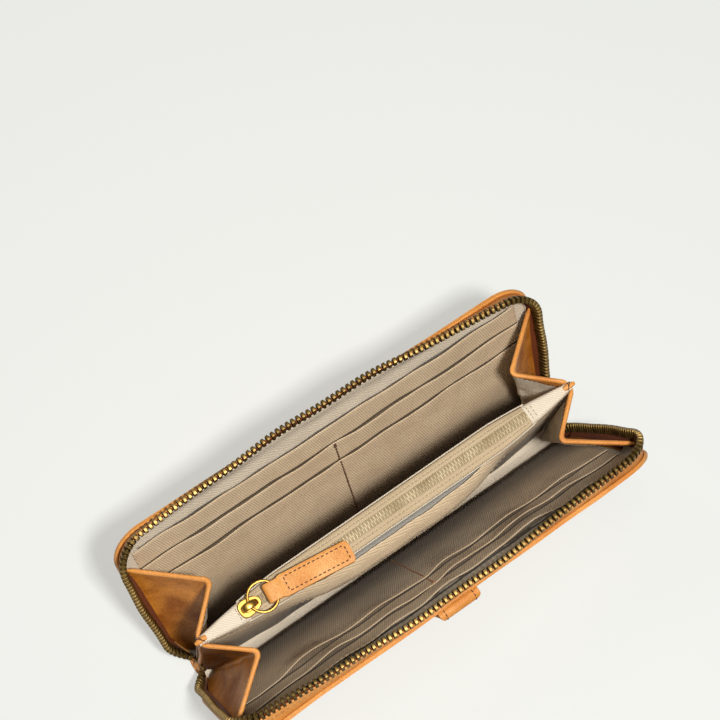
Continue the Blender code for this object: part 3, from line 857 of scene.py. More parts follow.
def zip_path(s):
    """Root (x, h), outward direction and height at path distance s from the middle of the long edge."""
    s = np.asarray(s, float)
    side = np.sign(s) + (s == 0)
    a = np.abs(s)
    turn = np.clip((a - ZIP_STRAIGHT) / ZIP_CORNER, 0, math.pi / 2)
    down = np.clip(a - ZIP_STRAIGHT - ZIP_ARC, 0, None)
    x = np.minimum(a, ZIP_STRAIGHT) + ZIP_CORNER * np.sin(turn)
    h = ZIP_TOP - ZIP_CORNER + ZIP_CORNER * np.cos(turn) - down
    return side * x, h, side * np.sin(turn), np.cos(turn)


ZIP_REACH = ZIP_STRAIGHT + ZIP_ARC + (ZIP_TOP - ZIP_CORNER - FOOT_H)


def edge_share(cover, s):
    """How far the wall at s turns with the hinged long edge: 0 on the sides, 1 along the middle."""
    left, right = cover.stance["corner"]
    a = np.abs(s)
    corner = np.where(np.asarray(s) < 0, left, right)
    straight = corner + (cover.stance["middle"] - corner) * (1 - np.clip(a / ZIP_STRAIGHT, 0, 1) ** 1.6)
    return straight * (1 - smooth((a - ZIP_STRAIGHT) / ZIP_ARC))


def wall(cover, s, up, across=0.0):
    """A point up the zip wall at s; across is towards the inside of the wallet."""
    x, h, out_x, out_h = zip_path(s)
    left, right = np.radians(cover.stance["splay"])
    end_splay = np.where(np.asarray(s) < 0, left, right)
    splay = mix(end_splay, EDGE_SPLAY, edge_share(cover, s)) + 0.05 * ripple(s, 0 * x, 3, 40.0)
    lift = up * np.cos(splay) + across * np.sin(splay)
    out = up * np.sin(splay) - across * np.cos(splay)
    return cover.at(x + out_x * out, h + out_h * out, ROOT_DEPTH + lift)


def wall_tall(s):
    """Height of the wall, teeth included."""
    return WALL_FOOT + WALL_SLOPE * zip_path(s)[1]


def zip_strip(cover, kind, mat, slot, ups, up_gap, offsets, weights, edge, nodes=()):
    """A strip along the zip wall: one piece round the cover, and a foot at each end that runs to the spine.

    ups are its rows, as shares of its height, and it ends up_gap past the foot of the teeth. offsets are
    the distances of its two faces out from the wall's middle, round the cover and then at its feet.
    """
    s = np.linspace(-ZIP_REACH, ZIP_REACH, 181)
    tall = wall_tall(s)[:, None] - TOOTH_TALL + up_gap
    front, back = (wall(cover, s[:, None], ups * tall, -out) for out in offsets[0])
    place = plan(s[:, None], ups * WALL_WIDE)
    obj, w = sheet(f"{cover.name}_{kind}", front, back, mat, place, *edge, weights(s[:, None]) + 0 * ups)
    bend_edge(cover, obj)
    put(obj, None, slot, *nodes)
    for end, end_name in ENDS:
        t = np.linspace(0, 1, 16)
        roots, tips = foot_curves(cover, end, t)
        rise = unit(tips - roots)
        tall = np.linalg.norm(tips - roots, axis=1)[:, None] - TOOTH_TALL + up_gap
        middle = roots[:, None, :] + rise[:, None, :] * (ups * tall)[..., None]
        off = normals(middle)
        off = off * np.sign(np.sum(off * [end, 0, 0], axis=-1).mean())
        place = plan(t[:, None] * FOOT_LONG, ups * WALL_WIDE)
        front, back = (middle + off * out for out in offsets[1])
        shares = smooth(t)[:, None] + 0 * ups
        obj, w = sheet(f"{cover.name}_{kind}_foot_{end_name}", front, back, mat, place, *edge, shares)
        bend_foot(obj)
        put(obj, None, slot)


def welt(cover):
    """The leather strip outside the zip tape, from the shell's edge to just short of the teeth."""
    ups = np.array([[-0.16, -0.04, 0.08, 0.22, 0.4, 0.6, 0.8, 0.94, 1.0]])
    up_gap, low, high = 0.15, 0.34, 1.0
    s = np.linspace(-ZIP_REACH, ZIP_REACH, 181)
    puff = 0.12 * np.sin(math.pi * np.clip(ups, 0, 1)) + 0.10 * ripple(s[:, None], 6 * ups, 13, 12.0)
    zip_strip(cover, "zip_welt", LEATHER_TAN, "tan_leather", ups, up_gap, ((high + puff, low), (high, low)),
              lambda at: edge_share(cover, at) * smooth(ups * 3 + 0.3), (0.22, 0.55))
    up = (wall_tall(s) - TOOTH_TALL + up_gap) * 0.62
    line = wall(cover, s, up, -1.12)
    rise = wall(cover, s, up, -2.0) - line
    made = stitches(f"{cover.name}_zip_welt_stitches", line[2:-2], rise[2:-2], THREAD_TAN, 2.5, 0.62, 0.2)
    bend_edge(cover, made)


def tape_ply(cover, end, end_name):
    """The tape's inner ply, from the gusset's border up to the teeth."""
    h = np.linspace(FOOT_H - 6, GUSSET_SPAN[1] - 3, 40)
    down = ZIP_TOP - ZIP_CORNER - h
    s = end * (ZIP_STRAIGHT + ZIP_ARC + np.where(down > 0, down, down * 1.1))
    v = (h - GUSSET_SPAN[0]) / (GUSSET_SPAN[1] - GUSSET_SPAN[0])
    low = gusset_curves(cover, end, v)[0]
    high = wall(cover, s, wall_tall(s) - TOOTH_TALL + 0.5, TAPE_HALF + 0.25)
    t = np.linspace(-0.1, 1, 9)[:, None, None]
    front = low * (1 - t) + high * t - np.sin(math.pi * np.clip(t, 0, 1)) * [0, 0, 0.5]
    back = front - normals(front) * 0.3
    place = plan(h, t[..., 0] * 6.0)
    obj, _ = sheet(f"{cover.name}_zip_tape_ply_{end_name}", front, back, ZIP_TAPE, place, 0.1, 0.0)
    put(obj, cover.body, "zip_tape")


def foot_curves(cover, end, t):
    """The wall's root and tip below FOOT_H, from the spine at t 0 up to FOOT_H at t 1."""
    s = end * ZIP_REACH
    tall = wall_tall(s)
    root, tip = wall(cover, s, 0.0), wall(cover, s, tall)
    root_up = unit(wall(cover, s - end, 0.0) - root)
    tip_up = unit(wall(cover, s - end, tall) - tip)
    side = cover.side
    meet = FOOT_MEET[0] if end < 0 else FOOT_MEET[1]
    root_end = np.array([end * (meet + 0.6), side * 1.2, 1.9])
    tip_end = np.array([end * meet, side * 1.1, 10.5])
    roots = bezier([root_end, root_end + [end * 1.5, side * 6, 0.4], root - root_up * 8, root], t)
    tips = bezier([tip_end, tip_end + [end * 2.6, side * 3.0, -0.6], tip - tip_up * 9, tip], t)
    return roots, tips


def zip_tape(cover):
    """The tape wall that carries the teeth."""
    ups = np.array([[0.0, 0.1, 0.25, 0.45, 0.65, 0.85, 1.0]])
    faces = (-TAPE_HALF, TAPE_HALF)
    zip_strip(cover, "zip_tape", ZIP_TAPE, "zip_tape", ups, 1.0, (faces, faces),
              lambda at: edge_share(cover, at), (0.15, 0.0), zip_nodes(cover, "tape"))


def zip_nodes(cover, kind):
    """A cover's CAD nodes of tape or teeth."""
    return [f"{cover.name}_{part}" for part in (f"edge_{kind}", f"side_{kind}_left", f"side_{kind}_right")]


def tooth():
    """One metal tooth: legs that clamp the tape, a rounded head, a nib and the wear of each point."""
    half = [(1.34, -0.1), (1.46, 0.7), (1.46, 1.7), (1.4, 2.6), (1.3, 3.15), (1.05, 3.5), (0.5, 3.66)]
    profile = half + [(-a, b) for a, b in reversed(half)]
    profile += [(-0.42, -0.1), (-0.42, 1.1), (0.42, 1.1), (0.42, -0.1)]
    rings = []
    for along, size in ((-0.68, 0.86), (-0.52, 1.0), (0.52, 1.0), (0.68, 0.86)):
        rings.append([(along, a * size, 1.8 + (b - 1.8) * size) for a, b in profile])
    nib = []
    for along, size in ((0.6, 1.0), (0.9, 0.8), (1.05, 0.35)):
        nib.append([(along, 0.7 * size * math.cos(TAU * k / 8), 2.85 + 0.42 * size * math.sin(TAU * k / 8))
                    for k in range(8)])
    verts, faces = merge(loft(rings), loft(nib))
    wear = smooth((verts[:, 2] - 1.2) / 2.0) * 0.7 + 0.3 * (np.abs(verts[:, 0]) < 0.55)
    return verts, faces, wear


def teeth_row(name, tips, roots, places):
    """Teeth along a wall's tip line, each on its own axes; returns (object, each point's place)."""
    template, faces, wear = tooth()
    rise = unit(tips - roots)
    tangent = unit(np.gradient(tips, axis=0))
    at, up, along, place = sampled(tips, TOOTH_PITCH, rise, tangent, places[:, None])
    along = unit(along)
    across = unit(np.cross(up, along))
    up = np.cross(along, across)
    rng = np.random.default_rng(len(at))
    at = at - up * (TOOTH_TALL - rng.uniform(-0.06, 0.06, (len(at), 1)))
    verts, every = copies(template, faces, at, along, across, up)
    change = np.repeat(rng.uniform(-0.12, 0.12, len(at)), len(template))
    wears = np.clip(np.tile(wear, len(at)) + change, 0, 1)
    return build(name, verts, every, BRASS_TEETH, None, wears, 35), np.repeat(place, len(template))


def zip_teeth(cover):
    """The rows of teeth on a cover, and their feet at the spine."""
    s = np.linspace(-ZIP_REACH, ZIP_REACH, 721)
    tips, roots = wall(cover, s, wall_tall(s)), wall(cover, s, 0.0)
    obj, at = teeth_row(f"{cover.name}_zip_teeth", tips, roots, s)
    bend_edge(cover, obj)
    put(obj, None, "antique_brass", *zip_nodes(cover, "teeth"))
    for end, end_name in ENDS:
        t = np.linspace(0, 1, 81)
        roots, tips = foot_curves(cover, end, t)
        obj, at = teeth_row(f"{cover.name}_zip_teeth_foot_{end_name}", tips, roots, t)
        bend_foot(obj)
        put(obj, None, "antique_brass")


def edge_lining(cover):
    """The lining's border: it runs up over the zip tape, nearly to the teeth along the long edge."""
    reach = ZIP_STRAIGHT + ZIP_ARC + 12.0
    s = np.linspace(-reach, reach, 151)
    x, h, out_x, out_h = zip_path(s)
    share = edge_share(cover, s)
    cover_up = mix(1.2, 5.6, smooth(share * 1.6)) + 0.25 * ripple(s, 0 * s, 8, 16.0)
    rows, weights, marks = [], [], []
    for back in (12.0, 10.0, 8.9, 8.2, 7.7, 7.1, 6.5, 4.5, 3.0, 1.8):
        wave = 0.14 * ripple(s, back + 0 * s, 21, 14.0)
        row_x, row_h = x - out_x * back, h - out_h * back
        rows.append(cover.at(row_x, row_h, LINING_DEPTH + wave))
        weights.append(0 * s)
        # Painted shade on the lining just above the high slot's mouth.
        marks.append(mouth_shade(cover, 0, row_x, row_h, 0.3) * (np.abs(row_x) < SLOT_HALF - 3))
    for up in (0.12, 0.3, 0.5, 0.7, 0.88, 1.0):
        puff = 0.55 + 0.25 * math.sin(math.pi * up) + 0.12 * ripple(s, 6 * up + 0 * s, 31, 9.0)
        rows.append(wall(cover, s, 0.8 + cover_up * up, puff))
        weights.append(share * smooth(up * 3 + 0.3))
        marks.append(0 * s)
    front = np.array(rows)
    back = front - normals(front) * 0.28 * cover.side
    place = plan(s, np.linspace(0, 18, len(rows))[:, None])
    weights = np.array(weights)
    obj, w = sheet(f"{cover.name}_edge_lining", front, back, TWILL_GREY, place, 0.15, 0.0, weights)
    mark(obj, marks)
    bend_edge(cover, obj)
    put(obj, None, "twill")


# Card slots


def slot_depth(cover, level, x, h):
    """Depth of a card slot's cloth; each slot stands on the one behind it."""
    edge = 1 - smooth((np.abs(x) - 62) / 28)
    seam = 1 - np.exp(-((x / 7.0) ** 2)) * (0.85 if level else 0.0)
    depth = SLOTS[level][2]
    for k in range(level + 1):
        top = SLOTS[k][1]
        rise = smooth((h - (top - 30)) / 30) ** 2
        swell = 0.62 + 0.75 * ripple(x, 0 * x + 7 * k, 41 + k + 5 * cover.side, 34.0)
        depth = depth + GAPE[cover.name][k] * rise * np.clip(swell, 0.10, 1.5) * edge * seam
    return depth + 0.08 * ripple(x, h, 17 + level, 18.0)


def slot_crest(cover, level, x):
    """Height of a slot's top edge along x."""
    return SLOTS[level][1] + 0.8 * ripple(x, 0 * x, 51 + level + cover.side, 36.0)


def mouth_shade(cover, level, x, h, lip):
    """Shade on the cloth behind a slot's mouth: a strip up to lip above the slot's crest."""
    up = h - slot_crest(cover, level, x)
    return smooth((up + 2.5) / 1.5) * (1 - smooth((up - lip) / 0.5))


def shade_slot(obj, cover, level, x, h):
    """Paints shade on a slot's own back edge, on the strip behind the next hem, and on the cloth down in the
    fold.
    """
    # Painted shadow of the coin pocket: dark low in the fold, fading out upwards.
    painted_slot_shade = 0.86 * (1 - smooth((h - 15) / 32))
    if level < 2:
        painted_slot_shade = np.maximum(painted_slot_shade, mouth_shade(cover, level + 1, x, h, 0.35))
    behind = np.maximum(painted_slot_shade, smooth((h - (slot_crest(cover, level, x) - 2.0)) / 1.5))
    rim = [painted_slot_shade[i, j] for i, j in outline_of(*h.shape)]
    shades = np.concatenate([painted_slot_shade.ravel(), behind.ravel(), rim])
    obj.data.attributes["wear"].data.foreach_set("value", shades.astype(np.float32))


def card_slots(cover):
    """Three tiers of slots; each is a cloth panel with a folded hem."""
    x = np.linspace(-SLOT_HALF, SLOT_HALF, 93)
    for level, (name, _, _) in enumerate(SLOTS):
        crest = slot_crest(cover, level, x)
        rows = [0.0, 0.15, 0.3, 0.45, 0.58, 0.68, 0.78, 0.86, 0.92, 0.96, 0.985, 1.0]
        h = [SLOT_FOOT + (crest - SLOT_FOOT) * r for r in rows]
        if level < 2:
            h += [slot_crest(cover, level + 1, x) + up for up in (-2.0, -0.6, 0.3, 0.85, 1.4)]
        h = np.sort(np.array(h), axis=0)
        wide = np.broadcast_to(x, h.shape)
        depth = slot_depth(cover, level, wide, h)
        hem = 0.18 + 0.16 * smooth((h - (crest - 5.2)) / 0.9)
        front = cover.at(wide, h, depth + hem)
        back = cover.at(wide, h, depth - 0.12)
        obj, _ = sheet(f"{cover.name}_slot_{name}", front, back, TWILL, plan(wide, h), 0.22, 0.0)
        shade_slot(obj, cover, level, wide, h)
        put(obj, cover.body, "twill", f"{cover.name}_card_slot_{name}")


def divider(cover):
    """The seam down the middle that makes two columns, with a bar tack at its top."""
    heights = np.linspace(70.8, 12, 60)
    depth = [slot_depth(cover, level, 0 * heights, heights) for level in (1, 2)]
    depth = np.where(heights > SLOTS[2][1] - 0.5, *depth)
    path = cover.at(0 * heights, heights, depth + 0.42)
    up = cover.at(0 * heights, heights, depth + 1.5) - path
    mat, radius = (THREAD, 0.38) if cover is FAR else (THREAD_BROWN, 0.26)
    obj = stitches(f"{cover.name}_divider_stitches", path, up, mat, 1.9, 0.74, radius)
    put(obj, cover.body, "thread", f"{cover.name}_divider_seam")
    x = np.linspace(-0.75, 0.75, 7)
    for k, h in enumerate((71.6, 70.2)):
        bar = cover.at(x, h + 0.2 * x, depth[0] + 0.55)
        up = cover.at(x, h + 0.2 * x, depth[0] + 1.5) - bar
        tack = stitches(f"{cover.name}_divider_tack_{k + 1}", bar, up, mat, 1.4, 0.95, radius * 1.15)
        put(tack, cover.body)


# Coin pocket


def pocket_half(x, middle):
    """The pocket's half width at x, tapering softly to a tip."""
    along = np.clip((np.abs(x) - POCKET_TAPER + 6) / (POCKET_HALF - POCKET_TAPER + 6), 0, 1)
    return POCKET_TIP + (middle - POCKET_TIP) * (1 - along**1.35)


def give_way(obj, side):
    """Gives a near-wall piece its own copy of its mesh."""
    if side < 0:
        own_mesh(obj)


def pocket_hems(x):
    """The light turned edge that shows beyond each tape."""
    for side, name in SIDES:
        path = points(x, side * (pocket_half(x, POCKET_WIDE) + 0.95), COIN_TAPE_Z + 0.05)
        put(tube(f"coin_hem_{name}", path, (0, 0, 1), 0.32, 0.42, TWILL_CREAM, 8), "root")


def looseness(x, side):
    """How loose a pocket wall hangs at x: the near one opens like a lens."""
    lens = smooth((np.clip(1 - (x / 62) ** 2, 0, 1) - 0.05) / 0.9)
    return lens if side < 0 else 0.12 * lens


def wall_line(x, z, side):
    """A pocket wall's distance from the pocket's middle at height z."""
    loose = looseness(x, side)
    half = pocket_half(x, mix(POCKET_FOOT_WIDE, POCKET_WIDE, z / POCKET_TOP))
    swell = loose * LENS_GAP * smooth((z - 18) / 52)
    if side < 0:
        slope = smooth((77.0 - z) / 11.0) * (1 - 0.85 * smooth((66.0 - z) / 26.0))
        swell = swell + (1.6 + 1.9 * loose) * slope * smooth((88 - np.abs(x)) / 26)
    return half + swell


def pocket_wall(x, side, name):
    """One wall: the far one stands straight, the near one swells out under a loose top edge."""
    loose = looseness(x, side)
    sag = 1.0 - 0.018 * loose
    rows = []
    for z in (2.6, 6, 12, 20, 30, 40, 50, 58, 64, 66.4, 67.2, 68, 70, 72.4, 74.4, 75.8, 76.6):
        pinch = -0.35 * math.exp(-(((z - 67.0) / 0.7) ** 2))
        round_in = (1.0 + 0.6 * loose) * smooth((z - 73.4) / 3.2) ** 2
        wave = 0.22 * ripple(x, z + 0 * x, 61 + side, 26.0) * smooth((90 - np.abs(x)) / 20)
        rows.append(points(x, side * (wall_line(x, z, side) + pinch - round_in + wave), z * sag))
    front = np.array(rows)
    z = front[..., 2]
    back = front - normals(front) * 0.4 * side
    obj, _ = sheet(f"coin_wall_{name}_cloth", front, back, TWILL_WALL, plan(front[..., 0], z), 0.3, 0.0)
    # Painted shade: the wall darkens towards the bottom, and the swollen near wall also just below its seam.
    low = 0.35 * loose * smooth((67.5 - z) / 1.5) if side < 0 else 0.0
    mark(obj, np.clip(0.8 * (1 - smooth((z - 8) / 62)) + low, 0, 1))
    put(obj, "root", "twill", f"coin_wall_{name}")
    give_way(obj, side)


def pocket_facing(x, side, name):
    """The cloth that shows inside the pocket's mouth, between a wall's top and its tape; its darker twill is
    painted shade for its recess.
    """
    loose = looseness(x, side)
    half = pocket_half(x, POCKET_WIDE)
    rows = []
    for t in np.linspace(0, 1, 6):
        z = mix(73.4, COIN_TAPE_Z - 0.9, t**2) - 1.2 * math.sin(math.pi * t) * loose
        rows.append(points(x, side * mix(half + loose * (LENS_GAP - 0.5) - 1.2, half - 0.5, t), z))
    front = np.array(rows)
    place = plan(front[..., 0], front[..., 1] * 1.3)
    obj, _ = sheet(f"coin_wall_{name}_facing", front, front - [0, 0, 0.3], TWILL_SHADED_FACING, place, 0.1, 0.0)
    put(obj, "root", "twill")
    give_way(obj, side)


def pocket_walls():
    """Both walls, and the seam below the near one's loose edge."""
    x = np.linspace(-POCKET_HALF, POCKET_HALF, 91)
    for side, name in SIDES:
        pocket_wall(x, side, name)
        pocket_facing(x, side, name)
    z = POCKET_SEAM_Z
    path = points(x, -wall_line(x, z, -1) - 0.05, z * (1.0 - 0.018 * looseness(x, -1)))[3:-3]
    made = stitches("coin_wall_near_stitches", path, (0, -1, 0.5), THREAD_TAUPE, 2.4, 0.6, 0.2)
    put(made, "root")
    give_way(made, -1)


def coin_tapes():
    """The coin zip's two tapes, each with a sewn line along it."""
    x = np.linspace(-COIN_ZIP_HALF, COIN_ZIP_HALF, 71)
    for side, name in SIDES:
        rows = []
        for t in (0.0, 0.12, 0.3, 0.5, 0.58, 0.64, 0.8, 0.93, 1.0):
            y = mix(1.35, pocket_half(x, POCKET_WIDE) + 0.35, t)
            groove = -0.22 * math.exp(-(((t - 0.58) / 0.045) ** 2))
            crown = 0.35 * math.sin(math.pi * t) - 0.5 * t**4
            wave = 0.1 * ripple(x, 9 * t + 0 * x, 71 + side, 22.0)
            rows.append(points(x, side * y, COIN_TAPE_Z + crown + groove + wave))
        front = np.array(rows)
        place = plan(front[..., 0], front[..., 1])
        obj, _ = sheet(f"coin_tape_{name}_cloth", front, front - [0, 0, 0.45], COIN_TAPE, place, 0.25, 0.0)
        put(obj, "root", "cream_twill", f"coin_tape_{name}")
        line = mix(front[4], front[3], 0.2) + [0, 0, 0.16]
        put(stitches(f"coin_tape_{name}_stitches", line, (0, 0, 1), THREAD_TAUPE, 1.9, 0.62, 0.13), "root")


def coin_coil():
    """Two nylon coils whose turns mesh along the middle, on a core painted dark as the shade between them."""
    pitch, per_turn, reach = 1.5, 14, COIN_ZIP_HALF - 1.0
    t = np.arange(int(2 * reach / pitch) * per_turn + 1) / per_turn
    angle = TAU * t
    parts = []
    for side, shift in ((1, 0.0), (-1, 0.5)):
        x = -reach + (t + shift) * pitch + 0.24 * np.cos(angle)
        turns = points(x, side * (0.78 + np.cos(angle)), COIL_Z + 0.5 * np.sin(angle))
        parts.append(tube_mesh(turns, (1, 0, 0), 0.38, 0.36, 8))
    core = points(np.linspace(-reach, reach, 40), 0.0, COIL_Z - 0.06)
    parts.append(tube_mesh(core, (0, 0, 1), 1.75, 0.30, 12))
    verts, faces = merge(*parts)
    shaded = np.zeros(len(verts))
    # Painted shade: the core is pulled to the dark gap colour.
    shaded[-len(parts[-1][0]):] = 0.8
    put(build("coin_zip_coil", verts, faces, COIL, verts, shaded), "root", "nylon_coil", "coin_coil")
    for side, name in SIDES:
        cord = points(np.linspace(-70, 70, 60), side * 1.95, COIN_TAPE_Z + 0.42)
        put(tube(f"coin_coil_cord_{name}", cord, (0, 0, 1), 0.2, 0.2, COIN_TAPE, 6), "root")


def coin_end_tabs():
    """Folded cream cloth over each end of the coin zip, with its cross stitches."""
    start = COIN_ZIP_HALF - 1.2
    along = np.linspace(start, POCKET_HALF + 1.6, 22)
    for end, name in ENDS:
        rows = []
        for t in np.linspace(-1, 1, 15):
            half = pocket_half(along, POCKET_WIDE) + 0.55
            drop = 0.9 * abs(t) ** 6
            lift = 0.7 * smooth((COIN_ZIP_HALF + 2.2 - along) / 2.0) * (1 - abs(t) ** 4)
            wave = 0.12 * ripple(along, 4 * t + 0 * along, 81 + end, 9.0)
            rows.append(points(end * along, t * half, COIN_TAPE_Z + 0.75 + lift + wave - drop))
        front = np.array(rows)
        place = plan(front[..., 0], front[..., 1])
        obj, _ = sheet(f"coin_zip_end_{name}", front, front - [0, 0, 0.7], TWILL_CREAM, place, 0.3, 0.0)
        put(obj, "root", "cream_twill", f"coin_end_tab_{name}")
        for k, back_off in enumerate((1.4, 2.8)):
            column = int(np.argmin(np.abs(along - (start + back_off))))
            line = front[2:-2, column] + [0, 0, 0.08]
            tack = f"coin_zip_end_{name}_tack_{k + 1}"
            put(stitches(tack, line, (0, 0, 1), THREAD_TAUPE, 1.5, 0.7, 0.16), "root")


# Gussets


def gusset_curves(cover, end, v):
    """The cover line, the fold and the pocket line of a gusset at heights v from 0 to 1."""
    foot_x, x, top_x = GUSSET_COVER
    h = mix(GUSSET_SPAN[0], GUSSET_SPAN[1], v)
    place = mix(foot_x, x, smooth(h / FOOT_H)) + (top_x - x) * v**6
    on_cover = cover.at(end * place, h, mix(GUSSET_DEPTH[0], GUSSET_DEPTH[1], v**3))
    foot, top = np.array(GUSSET_POCKET_FOOT), np.array(GUSSET_POCKET_TOP)
    on_pocket = mix(foot, top, v[:, None]) * [end, cover.side, 1]
    fold_top = np.array(GUSSET_FOLD[cover.name]) * [end, cover.side, 1]
    fold_foot = (on_cover[0] + on_pocket[0]) / 2 - [end * 5.0, 0, 0]
    lean = v[:, None] ** 0.92
    return on_cover, mix(fold_foot, fold_top, lean), on_pocket


def gusset_grid(cover, end, u, v, soft=3.2):
    """The gusset's surface; u runs from the cover (0) over the fold (0.5) to the pocket (1)."""
    a, f, p = gusset_curves(cover, end, v)
    to_cover, to_pocket = unit(a - f), unit(p - f)
    room = np.minimum(np.linalg.norm(a - f, axis=1), np.linalg.norm(p - f, axis=1))[:, None]
    radius = np.minimum(soft, room * 0.4)
    grid = []
    begin, finish = f + to_cover * radius, f + to_pocket * radius
    for value in u:
        if value < FOLD_FROM:
            grid.append(mix(a, begin, value / FOLD_FROM))
        elif value > FOLD_TO:
            grid.append(mix(finish, p, (value - FOLD_TO) / (1 - FOLD_TO)))
        else:
            grid.append(bezier([begin, f, finish], (value - FOLD_FROM) / (FOLD_TO - FOLD_FROM)))
    grid = np.array(grid)
    out = normals(grid)
    reference = unit((a + p) / 2 - f)
    facing = np.sign(np.sum(out[len(u) // 2] * reference, axis=-1).mean())
    out = out * facing
    uu, vv = np.meshgrid(u, v, indexing="ij")
    panel = np.where(uu < FOLD_FROM, uu / FOLD_FROM, np.clip((uu - FOLD_TO) / (1 - FOLD_TO), 0, 1))
    belly = np.sin(math.pi * panel) * np.sin(math.pi * vv)
    seed = 90 + 3 * cover.side + end
    creases = 0.5 * ripple(uu * 34, vv * 60, seed, 13.0) + 0.22 * ripple(uu * 34, vv * 60, seed + 1, 5.0)
    creases = creases * np.sin(math.pi * np.clip(uu, 0.02, 0.98)) * (1 - vv**6)
    depth = -1.5 * belly + creases * np.minimum(1, 4 * vv)
    return grid + out * depth[..., None], out, uu, vv


def gusset_weights(u):
    """Weights across a gusset: 0 on the cover, about FOLD_FOLLOW over the fold, 1 on the pocket."""
    return np.interp(u, [0.0, FOLD_FROM, FOLD_TO, 1.0], [0.0, FOLD_FOLLOW - 0.04, FOLD_FOLLOW + 0.04, 1.0])


def gusset(cover, end, end_name):
    """Leather outside, twill inside with a seam allowance at the pocket, and a binding along the top."""
    name = f"gusset_{cover.name}_{end_name}"
    u = [np.linspace(0, FOLD_FROM, 15), np.linspace(FOLD_FROM, FOLD_TO, 11), np.linspace(FOLD_TO, 1, 15)]
    u = np.concatenate([u[0], u[1][1:], u[2][1:]])
    v = np.concatenate([np.linspace(0, 0.94, 28), [0.97, 1.0]])
    middle, out, uu, vv = gusset_grid(cover, end, u, v)
    place = plan(uu * 56, vv * 78)
    weights = gusset_weights(uu)
    obj, w = sheet(f"{name}_leather", middle + out * 0.55, middle, LEATHER_GUSSET, place, 0.1, 0.3, weights)
    # Painted shade: the panel past the fold and the foot of the gusset are darkened.
    mark(obj, np.clip(smooth((uu - 0.44) / 0.16) * (1 - 0.25 * vv) + 0.6 * (1 - vv) ** 2, 0, 1), 0.3)
    bend_gusset(cover, obj)
    put(obj, None, "gusset_leather", f"{name}_outer", f"{name}_inner")
    flap = [-end * SEAM_FLAP, 0.0, 0.0]
    grids = (middle - out * 0.08, middle - out * 0.35)
    front, back = (np.concatenate([grid, grid[-1:] + flap]) for grid in grids)
    place = np.concatenate([place, place[-1:] + [SEAM_FLAP, 0, 0]])
    weights = np.concatenate([weights, weights[-1:]])
    obj, w = sheet(f"{name}_lining", front, back, TWILL_GREY, place, 0.1, 0.3, weights)
    bend_gusset(cover, obj)
    put(obj, None, "twill")
    gusset_binding(cover, end, name)


def gusset_binding(cover, end, name):
    """The rolled binding along a gusset's top, and the band sewn inside it."""
    u = np.linspace(0.0, 1.0, 81)
    top, out, _, _ = gusset_grid(cover, end, u, np.array([0.96, 0.98, 1.0]))
    rise = unit(top[:, 2] - top[:, 1])
    path = top[:, 2] + out[:, 2] * 0.1 - rise * 0.35
    wide = 0.98 * (0.55 + 0.45 * smooth(np.minimum(u, 1 - u) / 0.04))
    obj = tube(f"{name}_binding", path, rise, wide, wide * 1.25, LEATHER_BINDING, 12)
    bend_gusset(cover, obj)
    put(obj, None, "tan_leather")
    band, out, band_u, _ = gusset_grid(cover, end, u[1:-1], np.array([0.905, 0.93, 0.955, 0.985]))
    front, back = band - out * 0.42, band - out * 0.75
    shares = gusset_weights(band_u)
    obj, w = sheet(f"{name}_band_inner", front, back, LEATHER_BINDING, None, 0.12, 0.5, shares)
    bend_gusset(cover, obj)
    put(obj, None, "tan_leather")
    line = (band - out * 0.83)[2:-2, 1]
    obj = stitches(f"{name}_band_inner_stitches", line, -out[2:-2, 1], THREAD, 2.0, 0.62, 0.17)
    bend_gusset(cover, obj)
    put(obj, None, "thread")


def gusset_cover_seam(cover):
    """Stitches that hold the right gusset's outer panel against the zip tape."""
    v = np.linspace(0.08, 0.9, 50)
    grid, out, _, _ = gusset_grid(cover, 1, GUSSET_SEAM_U + np.array([-0.01, 0.0, 0.01]), v)
    line = grid[1] + out[1] * 0.62
    obj = stitches(f"gusset_{cover.name}_right_side_stitches", line, out[1], THREAD_TAN, 2.6, 0.62, 0.2)
    bend_gusset(cover, obj)
    put(obj, None, "thread")


def gusset_junction(end, end_name):
    """Where both gussets meet the pocket's tip: a folded leather edge, sewn through."""
    x = end * (POCKET_HALF + 0.5)
    z = np.linspace(4, 79.5, 30)
    path = points(x + end * 0.3 * np.sin(z / 9), 0.15 * np.sin(z / 7), z)
    obj = tube(f"gusset_seam_edge_{end_name}", path, (1, 0, 0), 1.15, 1.25, LEATHER_GUSSET, 12)
    put(obj, "root", "thread", f"gusset_seam_{end_name}")
    t = np.linspace(0, 1, 9)
    cap = bezier([(x + end * out, y, z) for out, y, z in ((-2.4, 0, 80.5), (-0.6, 0.15, 81), (1.2, 0, 81),
                                                          (2.6, -0.2, 80.4))], t)
    wide = np.interp(t * 3, range(4), (0.9, 1.25, 1.2, 0.75))
    put(tube(f"gusset_seam_cap_{end_name}", cap, (0, 0, 1), wide, 0.85, LEATHER_BINDING, 10), "root")
    for k, turn in enumerate((0.5, -0.6)):
        far_end = x + end * (0.8 + turn)
        strand = bezier([(x - end * 1.2, -1.3, 80.8), (x, 0.0, 82.5), (far_end, 1.35, 80.9)], t)
        put(tube(f"gusset_seam_knot_{end_name}_{k + 1}", strand, (1, 0, 0), 0.2, 0.2, THREAD, 6), "root")


# Sliders, rings and pulls


def joint_axes(joint, out, normal):
    """A frame on a joint: its origin, x out, y across, z its normal."""
    x_axis = unit(out)
    return joint_at(joint), x_axis, np.cross(normal, x_axis), np.asarray(normal, float)


def box_mm(node):
    """The low and high corners of a CAD node."""
    return (np.array(corner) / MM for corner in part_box(node))


